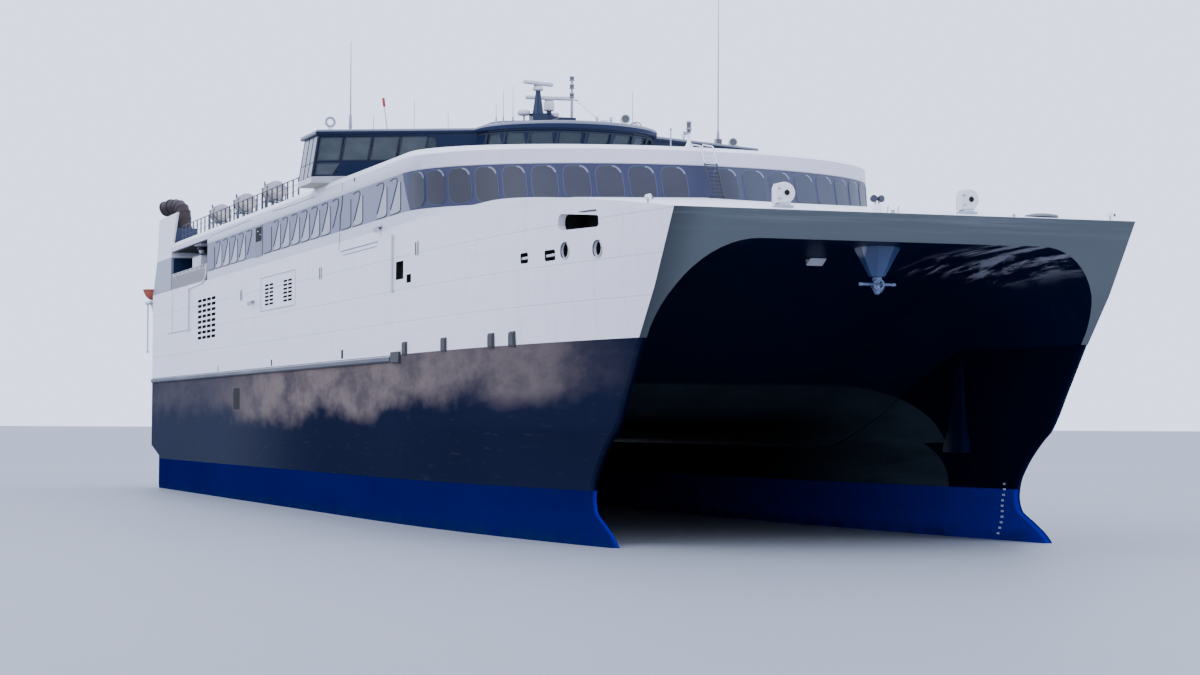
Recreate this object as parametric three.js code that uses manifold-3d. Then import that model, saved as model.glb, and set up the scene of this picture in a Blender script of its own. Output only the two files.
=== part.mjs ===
import * as THREE from "three";
import { mergeVertices } from "three/addons/utils/BufferGeometryUtils.js";
import Module from "manifold-3d";

// High-speed catamaran ferry, a 1:10 scale model. Sizes are those of the full-size ship, in metres,
// and the group's scale turns them into the model's millimetres. +X is forward, +Y is port, +Z is up,
// and the origin is amidships on the centreline at the waterline.
const MM_PER_SHIP_METRE = 100;
const SEAM = 0.003;
const RUNNING_GAP = 0.06;

// Hull and decks
const HALF_BEAM = 11.9;
const BOW_X = 53.25;
const BOW_Z = 12.97;
const STERN_X = -53.6;
const JET_TRANSOM_X = -50;
const STEM_Y = 9.57;
const STEM_HALF = 0.15;
const TUNNEL_HALF = 7.2;
const ENTRY_X = 22;
const HULL_TOP_Z = 8.2;
const VEHICLE_DECK_Z = 8.5;
const SIDE_TOP_Z = 14.5;
const HOLD_FRONT_X = 34;
const SHELL = 0.45;
const PLATE = 0.45;

// Passenger house and roof
const BAND_TOP_Z = 16.95;
const FASCIA_TOP_Z = 17.65;
const ROOF_Z = 17.97;
const FRONT_CENTRE_X = 21.86;
const FRONT_REACH = 9.75;
const HOUSE_AFT_X = -30.7;
const RECESS_AFT_X = -45.5;
const RECESS_TOP_Z = 17.3;
const AFT_HOUSE_HALF = 8.4;

// Half-breadth and height beyond the whole ship, for blocks that only cut
const OUTSIDE = 13;
const ABOVE = 16;

const wasm = await Module();
wasm.setup();

// Solids
function solidOf(geometry) {
  const bare = new THREE.BufferGeometry();
  const flat = geometry.index ? geometry.toNonIndexed() : geometry;
  bare.setAttribute("position", flat.getAttribute("position"));
  const merged = mergeVertices(bare, 1e-5);
  const make = (triVerts) =>
    new wasm.Manifold(
      new wasm.Mesh({ numProp: 3, vertProperties: merged.attributes.position.array, triVerts }),
    );
  const solid = make(new Uint32Array(merged.index.array));
  if (solid.volume() > 0) return solid;
  return make(new Uint32Array(merged.index.array).reverse());
}

function geometryOf(solid) {
  const mesh = solid.getMesh();
  const geometry = new THREE.BufferGeometry();
  geometry.setAttribute("position", new THREE.BufferAttribute(mesh.vertProperties, 3));
  geometry.setIndex(new THREE.BufferAttribute(mesh.triVerts, 1));
  const faceted = geometry.toNonIndexed();
  faceted.computeVertexNormals();
  return faceted;
}

// A closed solid through rings of [x, y, z] points, each ring with the same number of points
function loft(rings, flatAxes = [0, 1]) {
  const count = rings[0].length;
  const positions = rings.flat(2);
  const index = [];
  for (let ring = 0; ring + 1 < rings.length; ring++) {
    for (let i = 0; i < count; i++) {
      const a = ring * count + i;
      const b = ring * count + ((i + 1) % count);
      index.push(a, b, b + count, a, b + count, a + count);
    }
  }
  const flatten = (ring) => ring.map((p) => new THREE.Vector2(p[flatAxes[0]], p[flatAxes[1]]));
  const capOf = (ring, offset, turned) => {
    for (const [a, b, c] of THREE.ShapeUtils.triangulateShape(flatten(ring), [])) {
      index.push(...(turned ? [c, b, a] : [a, b, c]).map((i) => i + offset));
    }
  };
  const isClockwise = THREE.ShapeUtils.isClockWise(flatten(rings[0]));
  capOf(rings[0], 0, !isClockwise);
  capOf(rings.at(-1), (rings.length - 1) * count, isClockwise);
  const geometry = new THREE.BufferGeometry();
  geometry.setAttribute("position", new THREE.Float32BufferAttribute(positions, 3));
  geometry.setIndex(index);
  return solidOf(geometry);
}

function box(x0, x1, y0, y1, z0, z1) {
  const geometry = new THREE.BoxGeometry(x1 - x0, Math.abs(y1 - y0), Math.abs(z1 - z0));
  geometry.translate((x0 + x1) / 2, (y0 + y1) / 2, (z0 + z1) / 2);
  return solidOf(geometry);
}

// A prism along Y of an outline given as [x, z] points
function prismY(points, y0, y1) {
  return loft([y0, y1].map((y) => points.map(([x, z]) => [x, y, z])), [0, 2]);
}

function rod(from, to, radius, sides = 8, endRadius = radius) {
  const a = new THREE.Vector3(...from);
  const b = new THREE.Vector3(...to);
  const geometry = new THREE.CylinderGeometry(endRadius, radius, a.distanceTo(b), sides);
  const along = b.clone().sub(a).normalize();
  geometry.applyQuaternion(new THREE.Quaternion().setFromUnitVectors(new THREE.Vector3(0, 1, 0), along));
  geometry.translate(...a.add(b).multiplyScalar(0.5).toArray());
  return solidOf(geometry);
}

function lathe(profile, at, axis, sides = 16) {
  const points = profile.map(([radius, height]) => new THREE.Vector2(radius, height));
  const geometry = new THREE.LatheGeometry(points, sides);
  const along = new THREE.Vector3(...axis).normalize();
  geometry.applyQuaternion(new THREE.Quaternion().setFromUnitVectors(new THREE.Vector3(0, 1, 0), along));
  geometry.translate(...at);
  return solidOf(geometry);
}

// The mirror image of a solid across the centreline
function mirrored(solid) {
  const geometry = geometryOf(solid);
  geometry.scale(1, -1, 1);
  return solidOf(geometry);
}

// The main body of a cut solid, without the crumbs that a cut leaves along an edge
function mainBody(solid) {
  return solid.decompose().reduce((most, part) => (part.volume() > most.volume() ? part : most));
}

function join(solids) {
  return solids.reduce((whole, solid) => whole.add(solid));
}

// Materials and placing
const colours = {
  white: [0xc9cad2, 0.45, 0],
  paleBlue: [0x8796a3, 0.4, 0],
  navy: [0x10203f, 0.3, 0],
  boottop: [0x0b1636, 0.35, 0],
  grey: [0x8d9298, 0.5, 0.3],
  steel: [0x9da1a5, 0.35, 0.8],
  glass: [0x4d5763, 0.15, 0],
  rust: [0x5b4038, 0.7, 0.2],
  orange: [0xd2491f, 0.5, 0],
};

const ferry = new THREE.Group();
ferry.scale.setScalar(MM_PER_SHIP_METRE);

function add(name, colour, solid) {
  const [color, roughness, metalness] = colours[colour];
  const mesh = new THREE.Mesh(
    geometryOf(solid),
    new THREE.MeshStandardMaterial({ color, roughness, metalness }),
  );
  mesh.name = name;
  ferry.add(mesh);
  return mesh;
}

// A piece made for the port side and its mirror image on the starboard side
function addPair(name, colour, solid) {
  add(name + "_port", colour, solid);
  add(name + "_starboard", colour, solid).scale.y = -1;
}

// Hull form: half-breadths at a place along the ship, for a waterline that ends at stemX
function along(x, entryX, stemX) {
  return Math.min(1, Math.max(0, (x - entryX) / (stemX - entryX)));
}

function outerY(x, stemX, full = 1, entryX = ENTRY_X) {
  const swell = (HALF_BEAM - STEM_Y - STEM_HALF) * full;
  return STEM_Y + STEM_HALF + swell * (1 - along(x, entryX, stemX) ** 2.4);
}

function innerY(x, stemX, full = 1, entryX = ENTRY_X) {
  const swell = (STEM_Y - STEM_HALF - TUNNEL_HALF) * full;
  return STEM_Y - STEM_HALF - swell * (1 - along(x, entryX, stemX) ** 1.8);
}

const BOW_STATIONS = 8;
function stationsTo(stemX, entryX, sternX) {
  const steps = Array.from({ length: BOW_STATIONS + 1 }, (_, i) =>
    Math.sin((i / BOW_STATIONS) * (Math.PI / 2)),
  );
  return [sternX, ...steps.map((s) => entryX + (stemX - entryX) * s)];
}

// Waterlines of one demihull, keel to hull top, with a bulb under the waterline at the stem
const MOUTH_STEM_X = 49.5;
const waterlines = [
  { z: -3.65, stemX: 40.5, sternX: -44, full: 0.12, entryX: 4 },
  { z: -3.35, stemX: 44.2, sternX: -47, full: 0.5, entryX: 6 },
  { z: -2.5, stemX: 46.6, sternX: JET_TRANSOM_X, full: 0.82, entryX: 8 },
  { z: -1.2, stemX: 47.2, sternX: JET_TRANSOM_X, full: 0.95, entryX: 10 },
  { z: -0.2, stemX: 46.8, sternX: JET_TRANSOM_X, full: 0.98, entryX: 11 },
  { z: 0.3, stemX: 46.2, sternX: JET_TRANSOM_X, full: 1, entryX: 12 },
  { z: 0.81, stemX: 45.1, sternX: JET_TRANSOM_X, full: 1, entryX: 12 },
  { z: 1.3, stemX: 44.0, sternX: JET_TRANSOM_X, full: 1, entryX: 13 },
  { z: 1.85, stemX: 43.78, sternX: JET_TRANSOM_X, full: 1, entryX: 14 },
  { z: 2.4, stemX: 43.9, sternX: JET_TRANSOM_X, full: 1, entryX: 15 },
  { z: 3.17, stemX: 44.5, sternX: STERN_X, full: 1, entryX: 17 },
  { z: 4.22, stemX: 45.86, sternX: STERN_X, full: 1, entryX: 20 },
  { z: 4.7, stemX: 46.65, sternX: STERN_X, full: 1, entryX: ENTRY_X },
  { z: 6.38, stemX: 48.05, sternX: STERN_X, full: 1, entryX: ENTRY_X },
  { z: HULL_TOP_Z - SEAM, stemX: MOUTH_STEM_X, sternX: STERN_X, full: 1, entryX: ENTRY_X },
];

function demihullForm(shiftY) {
  return loft(
    waterlines.map(({ z, stemX, sternX, full, entryX }) => {
      const xs = stationsTo(stemX, entryX, sternX);
      const outer = xs.map((x) => [x, outerY(x, stemX, full, entryX) + shiftY, z]);
      const inner = xs.map((x) => [x, innerY(x, stemX, full, entryX) + shiftY, z]).reverse();
      return [...outer, ...inner];
    }),
  );
}

// Belting along the side of each demihull, just under the vehicle deck
const BELTING = { aftX: -53.3, frontX: 19.9, proud: 0.15, lowZ: 7.84, highZ: 8.17 };
const belting = box(
  BELTING.aftX,
  BELTING.frontX,
  HALF_BEAM - SHELL,
  HALF_BEAM + BELTING.proud,
  BELTING.lowZ,
  BELTING.highZ,
);
addPair("demihull", "boottop", demihullForm(0).add(belting));

// The passage between the hulls: wet deck aft, rising into the vault of the bow mouth. Aft of the
// vault its sides run into the demihulls, so that only the haunches of the bridging are left there.
const PASSAGE_LOW_Z = -6;
const vaultStations = [
  { x: -60, top: 5.0, cornerY: 1.6, cornerZ: 1.2, widen: 1.2 },
  { x: 20, top: 5.0, cornerY: 1.6, cornerZ: 1.2, widen: 1.2 },
  { x: 28, top: 5.2, cornerY: 1.8, cornerZ: 1.4, widen: 1.2 },
  { x: 33, top: 6.7, cornerY: 2.1, cornerZ: 1.7, widen: 1.2 },
  { x: 37, top: 8.7, cornerY: 2.5, cornerZ: 2.0, widen: 0.8 },
  { x: 41, top: 10.4, cornerY: 2.9, cornerZ: 2.2, widen: 0 },
  { x: 45, top: 11.35, cornerY: 3.2, cornerZ: 3.15, widen: 0 },
  { x: 49, top: 11.8, cornerY: 3.5, cornerZ: 3.6, widen: 0 },
  { x: 54, top: 11.97, cornerY: 3.5, cornerZ: 3.75, widen: 0 },
];
const CORNER_STEPS = 5;
function passageForm(drop) {
  return loft(
    vaultStations.map(({ x, top, cornerY, cornerZ, widen }) => {
      const half = innerY(x, MOUTH_STEM_X) + SEAM;
      const arch = Array.from({ length: CORNER_STEPS + 1 }, (_, i) => {
        const turn = (i / CORNER_STEPS) * (Math.PI / 2);
        const y = half - cornerY * (1 - Math.cos(turn));
        return [x, y, top - drop - cornerZ * (1 - Math.sin(turn))];
      });
      const port = [[x, half + widen, PASSAGE_LOW_Z], [x, half + widen, arch[0][2] - SEAM], ...arch];
      const starboard = port.map(([px, y, z]) => [px, -y, z]).reverse();
      return [...port, ...starboard];
    }),
    [1, 2],
  );
}
const passage = passageForm(0);

// Bridging structure between the hulls, under the vehicle deck, with a haunch along each demihull
const BRIDGING = { lowZ: 3.7, lap: 0.6, frontX: 41, haunchY: 5.2 };
const bridgingStations = [STERN_X, 20, 26, 32, 37, BRIDGING.frontX];
const bridging = loft(
  [BRIDGING.lowZ, HULL_TOP_Z - SEAM].map((z) => {
    const port = bridgingStations.map((x) => [x, innerY(x, MOUTH_STEM_X) + BRIDGING.lap, z]);
    return [...port, ...port.map(([x, y]) => [x, -y, z]).reverse()];
  }),
)
  .subtract(passage)
  .subtract(demihullForm(-SEAM))
  .subtract(mirrored(demihullForm(-SEAM)));
const bridgingPart = (y0, y1) =>
  mainBody(bridging.intersect(box(STERN_X, BRIDGING.frontX, y0, y1, 0, HULL_TOP_Z)));
add("bridging_structure", "navy", bridgingPart(-BRIDGING.haunchY, BRIDGING.haunchY));
addPair("bridging_haunch", "navy", bridgingPart(BRIDGING.haunchY + SEAM, OUTSIDE));

// Side of the ship above the hull tops: the raked stem line and the plan curve at each level
const upperLevels = [
  { z: HULL_TOP_Z, stemX: MOUTH_STEM_X },
  { z: 10.1, stemX: 51.2 },
  { z: BOW_Z, stemX: BOW_X },
  { z: 15.6, stemX: BOW_X + 0.3 },
];

function upperHull(sternX, cut) {
  return loft(
    upperLevels.map(({ z, stemX }) => {
      const port = stationsTo(stemX, ENTRY_X, sternX).map((x) => [x, outerY(x, stemX) - cut, z]);
      return [...port, ...port.map(([x, y]) => [x, -y, z]).reverse()];
    }),
  );
}
const upperForm = upperHull(STERN_X, 0);

// Deck surface forward of the house: it rises going aft and is higher at the centreline, with a
// shoulder half way out to the side
const SHEER_START_X = 36;
const DECK_SLOPE = 0.11;
const SHOULDER = { share: 0.5, rise: 0.8 };

function sheerZ(x) {
  const fall = Math.max(0, x - SHEER_START_X) / (BOW_X - SHEER_START_X);
  return SIDE_TOP_Z - (SIDE_TOP_Z - BOW_Z) * fall ** 1.4;
}

function deckZ(x, share) {
  const edge = sheerZ(x);
  const centre = BOW_Z + (BOW_X - x) * DECK_SLOPE;
  const shoulder = edge + (centre - edge) * SHOULDER.rise;
  if (share < SHOULDER.share) return centre + (shoulder - centre) * (share / SHOULDER.share);
  return shoulder + (edge - shoulder) * ((share - SHOULDER.share) / (1 - SHOULDER.share));
}

const deckStations = [ENTRY_X - 1, 24, 28, 32, 36, 40, 44, 48, 51, BOW_X + 1];
const underDeck = loft(
  deckStations.map((x) => {
    const onDeck = Math.min(x, BOW_X);
    const side = outerY(x, BOW_X);
    const port = [
      [x, OUTSIDE, 0],
      [x, OUTSIDE, sheerZ(onDeck)],
      ...[1, SHOULDER.share].map((share) => [x, side * share, deckZ(onDeck, share)]),
    ];
    return [...port, [x, 0, deckZ(onDeck, 0)], ...port.map(([px, y, z]) => [px, -y, z]).reverse()];
  }),
  [1, 2],
);

const bowModule = upperForm
  .intersect(box(HOLD_FRONT_X, BOW_X + 2, -OUTSIDE, OUTSIDE, HULL_TOP_Z, ABOVE))
  .intersect(underDeck)
  .subtract(passage);
add("bow_module", "white", mainBody(bowModule));

// Vehicle deck: two side walls with louvres, a stern frame, the deck itself and the deck above it
const louvreGroups = [
  { aftX: -34.1, width: 6.9, lowZ: 10.55, highZ: 13.45, columns: 4, rows: 8 },
  { aftX: -11.2, width: 2.7, lowZ: 11.93, highZ: 13.3, columns: 2, rows: 6 },
  { aftX: -5.85, width: 2.6, lowZ: 11.93, highZ: 13.3, columns: 2, rows: 6 },
];
const SLOT = { depth: 0.16, share: 0.8, open: 0.55 };

function louvreSlots({ aftX, width, lowZ, highZ, columns, rows }) {
  const slots = [];
  const pitchX = width / columns;
  const pitchZ = (highZ - lowZ) / rows;
  for (let column = 0; column < columns; column++) {
    for (let row = 0; row < rows; row++) {
      const x = aftX + column * pitchX;
      const z = lowZ + row * pitchZ;
      const outer = [x, x + pitchX * SLOT.share, HALF_BEAM - SLOT.depth, OUTSIDE];
      slots.push(box(...outer, z, z + pitchZ * SLOT.open));
    }
  }
  return slots;
}

const sideWall = upperForm
  .intersect(box(STERN_X, HOLD_FRONT_X - SEAM, 0, OUTSIDE, HULL_TOP_Z, SIDE_TOP_Z - SEAM))
  .subtract(upperHull(STERN_X - 1, SHELL))
  .subtract(join(louvreGroups.flatMap(louvreSlots)));
addPair("vehicle_deck_side", "white", sideWall);

const STERN_WALL = 0.45;
const RAMP_OPENING = { half: 3.8, highZ: 13.4 };
const RAMP = { half: 4.0, lowZ: 8.3, highZ: 13.6, thick: 0.35, gap: 0.1 };
const RAMP_PIN = { length: 0.12, radius: 0.08, lug: 0.13 };
const RAMP_HINGE = { x: STERN_X - RAMP.gap - RAMP.thick / 2, z: RAMP.lowZ + 0.1 };
const insideForm = upperHull(STERN_X, SHELL + SEAM);
const insidePlate = (x0, x1, z0, z1) => insideForm.intersect(box(x0, x1, -OUTSIDE, OUTSIDE, z0, z1));
const rampLug = (side) => {
  const inner = side * (RAMP.half + RAMP_PIN.length + SEAM);
  const lugBack = [RAMP_HINGE.x - 0.15, STERN_X + 0.1];
  return box(...lugBack, inner, inner + side * RAMP_PIN.lug, RAMP_HINGE.z - 0.15, RAMP_HINGE.z + 0.2);
};
const { half: holeHalf, highZ: holeTop } = RAMP_OPENING;
const rampHole = box(STERN_X - 1, STERN_X + 1, -holeHalf, holeHalf, VEHICLE_DECK_Z, holeTop);
const sternWall = insidePlate(
  STERN_X,
  STERN_X + STERN_WALL,
  HULL_TOP_Z,
  SIDE_TOP_Z - PLATE - 2 * SEAM,
);
add("stern_frame", "white", join([sternWall, rampLug(1), rampLug(-1)]).subtract(rampHole));

const vehicleDeckAftX = STERN_X + STERN_WALL + SEAM;
add(
  "vehicle_deck",
  "grey",
  insidePlate(vehicleDeckAftX, HOLD_FRONT_X - SEAM, HULL_TOP_Z, VEHICLE_DECK_Z),
);
add(
  "passenger_deck",
  "grey",
  insidePlate(STERN_X, HOLD_FRONT_X - SEAM, SIDE_TOP_Z - PLATE - SEAM, SIDE_TOP_Z - SEAM),
);

// Passenger house: straight sides, a half-elliptic front that leans back, a roof with a sloping rim
const FRONT_STEPS = 16;
const FRONT_LEAN = 1.1;
const RIM = { fasciaReach: 8.5, roofReach: 7.2, inset: 0.25 };
function housePlan(aftX, half, reach, z) {
  const front = Array.from({ length: FRONT_STEPS + 1 }, (_, i) => {
    const turn = (i / FRONT_STEPS) * Math.PI;
    return [FRONT_CENTRE_X + reach * Math.sin(turn), -half * Math.cos(turn), z];
  });
  return [[aftX, -half, z], ...front, [aftX, half, z]];
}

function house(swell) {
  const half = HALF_BEAM + swell;
  return loft([
    housePlan(HOUSE_AFT_X, half, FRONT_REACH + swell, SIDE_TOP_Z),
    housePlan(HOUSE_AFT_X, half, FRONT_REACH - FRONT_LEAN + swell, BAND_TOP_Z - SEAM),
  ]);
}
add("passenger_house", "glass", house(0));

const apron = upperForm
  .intersect(box(ENTRY_X, HOLD_FRONT_X - SEAM, -OUTSIDE, OUTSIDE, SIDE_TOP_Z, ABOVE))
  .intersect(underDeck)
  .subtract(house(SEAM));
add("front_apron", "white", apron);

const aftHouseX = [STERN_X + 1, HOUSE_AFT_X - SEAM];
add(
  "aft_house",
  "navy",
  box(...aftHouseX, -AFT_HOUSE_HALF, AFT_HOUSE_HALF, SIDE_TOP_Z, BAND_TOP_Z - SEAM),
);

// Stern towers beside the aft recesses: a block up to the roof, a thin fin that stands on its outer
// side and reaches forward over the roof's rim, and the casing at the foot of the exhaust
const TOWER = {
  topZ: 20.05,
  innerY: 8.9,
  finY: HALF_BEAM - 0.15,
  footFrontX: -44.9,
  topFrontX: -43.0,
  topAftX: -50.9,
  kneeX: -51.85,
};
const CASING = { aftX: -47.9, innerY: 9.97, topZ: 19.1, lap: 0.05 };
const towerOutline = prismY(
  [
    [STERN_X, SIDE_TOP_Z],
    [RECESS_AFT_X, SIDE_TOP_Z],
    [RECESS_AFT_X, FASCIA_TOP_Z],
    [TOWER.footFrontX, FASCIA_TOP_Z],
    [TOWER.footFrontX, ROOF_Z],
    [TOWER.topFrontX, TOWER.topZ],
    [TOWER.topAftX, TOWER.topZ],
    [TOWER.kneeX, BAND_TOP_Z],
  ],
  TOWER.innerY,
  HALF_BEAM,
);
const besideFin = box(STERN_X, HOUSE_AFT_X, 0, TOWER.finY, ROOF_Z, TOWER.topZ + 1);
const besideFoot = box(RECESS_AFT_X, HOUSE_AFT_X, 0, TOWER.finY, SIDE_TOP_Z, TOWER.topZ + 1);
const casing = box(
  CASING.aftX,
  RECESS_AFT_X,
  CASING.innerY,
  (TOWER.finY + HALF_BEAM) / 2,
  ROOF_Z - CASING.lap,
  CASING.topZ,
);
const tower = towerOutline.subtract(besideFin).subtract(besideFoot).add(casing);
addPair("stern_tower", "white", tower);

// Room that the roof leaves for a tower's block and for the foot of its fin
function towerRoom(side) {
  const from = side * (TOWER.innerY - SEAM);
  const finFrom = side * (TOWER.finY - SEAM);
  const footX = [RECESS_AFT_X, TOWER.footFrontX + SEAM];
  return join([
    box(STERN_X - 1, RECESS_AFT_X + SEAM, from, side * OUTSIDE, SIDE_TOP_Z, TOWER.topZ),
    box(...footX, finFrom, side * OUTSIDE, FASCIA_TOP_Z - SEAM, TOWER.topZ),
  ]);
}
const recessRoom = (side) =>
  box(
    RECESS_AFT_X,
    HOUSE_AFT_X - SEAM,
    side * (AFT_HOUSE_HALF + SEAM),
    side * OUTSIDE,
    SIDE_TOP_Z,
    RECESS_TOP_Z,
  );
const roof = loft([
  housePlan(STERN_X + 1, HALF_BEAM, FRONT_REACH - FRONT_LEAN, BAND_TOP_Z),
  housePlan(STERN_X + 1, HALF_BEAM, RIM.fasciaReach, FASCIA_TOP_Z),
  housePlan(STERN_X + 1, HALF_BEAM - RIM.inset, RIM.roofReach, ROOF_Z),
])
  .subtract(towerRoom(1))
  .subtract(towerRoom(-1))
  .subtract(recessRoom(1))
  .subtract(recessRoom(-1));
add("roof_deck", "white", roof);

// Mesh bulwark along the outer edge of each recess, its forward lower corner cut off
const BULWARK = { highZ: 15.6, thick: 0.12, foot: 0.9 };
const bulwarkX = [RECESS_AFT_X + SEAM, HOUSE_AFT_X - SEAM];
const bulwark = prismY(
  [
    [bulwarkX[0], SIDE_TOP_Z],
    [bulwarkX[1] - BULWARK.foot, SIDE_TOP_Z],
    [bulwarkX[1], SIDE_TOP_Z + BULWARK.foot],
    [bulwarkX[1], BULWARK.highZ],
    [bulwarkX[0], BULWARK.highZ],
  ],
  HALF_BEAM - BULWARK.thick,
  HALF_BEAM,
);
addPair("recess_bulwark", "grey", bulwark);

// Wheelhouse: floor with wings over the sides, walls that lean out at the top with windows cut
const WING = { tipY: 12.6, rootY: 7.5, frontX: 6.4, aftX: 3.0 };
const BRIDGE = { wallZ: 18.3, topZ: 20.4, roofZ: 20.65, lean: 1.6, aftX: -7, aftY: 5.5 };
const BAY = { half: 4.85, rootX: 10.4, reach: 3.9 };
const BAY_STEPS = 10;

// Plan of the wheelhouse at a height, grown outwards, and raised by a brow over the round bay
function bridgePlan(z, grow, brow = 0) {
  const leanBack = (BRIDGE.lean * (BRIDGE.topZ - z)) / (BRIDGE.topZ - BRIDGE.wallZ);
  const bay = Array.from({ length: BAY_STEPS + 1 }, (_, i) => {
    const turn = (i / BAY_STEPS) * Math.PI;
    const x = BAY.rootX - leanBack + (BAY.reach + grow) * Math.sin(turn);
    return [x, -(BAY.half + grow) * Math.cos(turn), z + brow * Math.sin(turn)];
  });
  const wing = [
    [BRIDGE.aftX - grow, BRIDGE.aftY + grow, z],
    [WING.aftX - leanBack - grow, WING.rootY + grow, z],
    [WING.aftX - leanBack - grow, WING.tipY + grow, z],
    [WING.frontX - leanBack + grow, WING.tipY + grow, z],
  ];
  return [...wing.map(([x, y]) => [x, -y, z]), ...bay, ...wing.reverse()];
}
const BRIDGE_WALL = 0.22;
const FLOOR_EDGE = 0.05;
add(
  "wheelhouse_floor",
  "white",
  loft([bridgePlan(ROOF_Z + SEAM, FLOOR_EDGE), bridgePlan(BRIDGE.wallZ - SEAM, FLOOR_EDGE)]),
);

// Window cutters, given by the wall's two ends in plan and the share of its length they take
const CUTTER_DEPTH = 3.4;
function windowIn([ax, ay], [bx, by], from, to, lowZ, highZ) {
  const length = Math.hypot(bx - ax, by - ay);
  const geometry = new THREE.BoxGeometry(length * (to - from), CUTTER_DEPTH, highZ - lowZ);
  geometry.rotateZ(Math.atan2(by - ay, bx - ax));
  const middle = (from + to) / 2;
  geometry.translate(ax + (bx - ax) * middle, ay + (by - ay) * middle, (lowZ + highZ) / 2);
  return solidOf(geometry);
}

// Rows of panes between two corners of the plan: where they start along the wall and what they take
const PANE = { lowZ: 19.1, highZ: 20.22, share: 0.9 };
const middlePlan = bridgePlan((PANE.lowZ + PANE.highZ) / 2, 0);
const FIRST_BAY_POINT = 4;
const paneRows = [
  { from: 3, to: 4, panes: 4, start: 0.02, share: 0.76, lowZ: PANE.lowZ, highZ: PANE.highZ },
  { from: 2, to: 3, panes: 2, start: 0.06, share: 0.9, lowZ: PANE.lowZ, highZ: PANE.highZ },
  { from: 1, to: 2, panes: 2, start: 0.15, share: 0.8, lowZ: PANE.lowZ, highZ: PANE.highZ },
  { from: 3, to: 4, panes: 1, start: 0.02, share: 0.1, lowZ: 18.5, highZ: 18.95 },
];
const paneCuts = [];
for (const { from, to, panes, start, share, lowZ, highZ } of paneRows) {
  for (const side of [1, -1]) {
    const a = [middlePlan[from][0], side * middlePlan[from][1]];
    const b = [middlePlan[to][0], side * middlePlan[to][1]];
    const step = share / panes;
    for (let pane = 0; pane < panes; pane++) {
      const begin = start + pane * step;
      paneCuts.push(windowIn(a, b, begin, begin + step * PANE.share, lowZ, highZ));
    }
  }
}
for (let facet = 1; facet < BAY_STEPS - 1; facet++) {
  const a = middlePlan[FIRST_BAY_POINT + facet];
  const b = middlePlan[FIRST_BAY_POINT + facet + 1];
  paneCuts.push(windowIn(a, b, 1 - PANE.share, PANE.share, PANE.lowZ, PANE.highZ));
}
const bridgeWalls = loft([bridgePlan(BRIDGE.wallZ, 0), bridgePlan(BRIDGE.topZ, 0)]).subtract(
  loft([bridgePlan(BRIDGE.wallZ - 1, -BRIDGE_WALL), bridgePlan(BRIDGE.topZ + 1, -BRIDGE_WALL)]),
);
add("wheelhouse_walls", "navy", paneCuts.reduce((walls, cut) => walls.subtract(cut), bridgeWalls));

// Wheelhouse roof: a slab that stands out over the walls, and a raised crown over the middle
const EAVES = { overhang: 0.25, brow: 0.15 };
const CROWN = { aftX: -5, rootX: 9.3, half: 4.5, reach: 2.6, rise: 0.5, slope: 0.7 };
const ROOF_TOP = BRIDGE.roofZ + CROWN.rise;
function crownPlan(z, inset) {
  const bay = Array.from({ length: BAY_STEPS + 1 }, (_, i) => {
    const turn = (i / BAY_STEPS) * Math.PI;
    const x = CROWN.rootX + (CROWN.reach - inset) * Math.sin(turn);
    return [x, -(CROWN.half - inset) * Math.cos(turn), z];
  });
  const aft = [CROWN.aftX + inset, CROWN.half - inset];
  return [[aft[0], -aft[1], z], ...bay, [...aft, z]];
}
add(
  "wheelhouse_roof",
  "paleBlue",
  join([
    loft([
      bridgePlan(BRIDGE.topZ + SEAM, EAVES.overhang),
      bridgePlan(BRIDGE.roofZ, EAVES.overhang, EAVES.brow),
    ]),
    loft([crownPlan(BRIDGE.roofZ - 0.1, 0), crownPlan(ROOF_TOP, CROWN.slope)]),
  ]),
);

// Radar mast on the wheelhouse roof: a plinth with two pedestals, and a scanner on each
const PLINTH = { aftX: 5.0, frontX: 8.6, half: 1.45, topZ: ROOF_TOP + 0.3 };
const RADARS = [
  { name: "radar_scanner_upper", x: 7.2, y: -0.48, z: 23.6, length: 2.1, turn: 24.5, gearZ: 23.25 },
  { name: "radar_scanner_lower", x: 6.0, y: 0.54, z: 22.97, length: 2.7, turn: -6, gearZ: 22.3 },
];
const GEAR = { radius: 0.3, neck: 0.13, foot: 0.4, gap: 0.1 };
const SCANNER = { half: 0.14, low: -0.02, high: 0.2, hub: 0.24 };
const pedestal = ({ x, y, z, gearZ }) => [
  box(x - GEAR.foot, x + GEAR.foot, y - GEAR.foot, y + GEAR.foot, ROOF_TOP + 0.1, 22.0),
  rod([x, y, 21.9], [x, y, gearZ + 0.05], GEAR.foot * 0.8, 12, GEAR.neck),
  rod([x, y, gearZ], [x, y, z - GEAR.gap], GEAR.radius, 12),
];
const plinth = box(
  PLINTH.aftX,
  PLINTH.frontX,
  -PLINTH.half,
  PLINTH.half,
  ROOF_TOP + SEAM,
  PLINTH.topZ,
);
const RADOME = { x: 6.9, y: -1.2, radius: 0.36, topZ: 22.23 };
const dome = new THREE.SphereGeometry(RADOME.radius, 12, 8);
dome.translate(RADOME.x, RADOME.y, RADOME.topZ - RADOME.radius);
const radomeFoot = [RADOME.x, RADOME.y, ROOF_TOP + 0.1];
const radomeNeck = rod(radomeFoot, [RADOME.x, RADOME.y, RADOME.topZ - RADOME.radius], 0.24, 12);
const CABINETS = [
  { aftX: 7.0, frontX: 8.15, lowY: 0.35, highY: 1.35, topZ: 21.72 },
  { aftX: 5.1, frontX: 5.5, lowY: 0.75, highY: 1.3, topZ: 22.3 },
];
const cabinets = CABINETS.map(({ aftX, frontX, lowY, highY, topZ }) =>
  box(aftX, frontX, lowY, highY, ROOF_TOP + 0.1, topZ),
);
const mastParts = [plinth, solidOf(dome), radomeNeck, ...cabinets, ...RADARS.flatMap(pedestal)];
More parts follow.
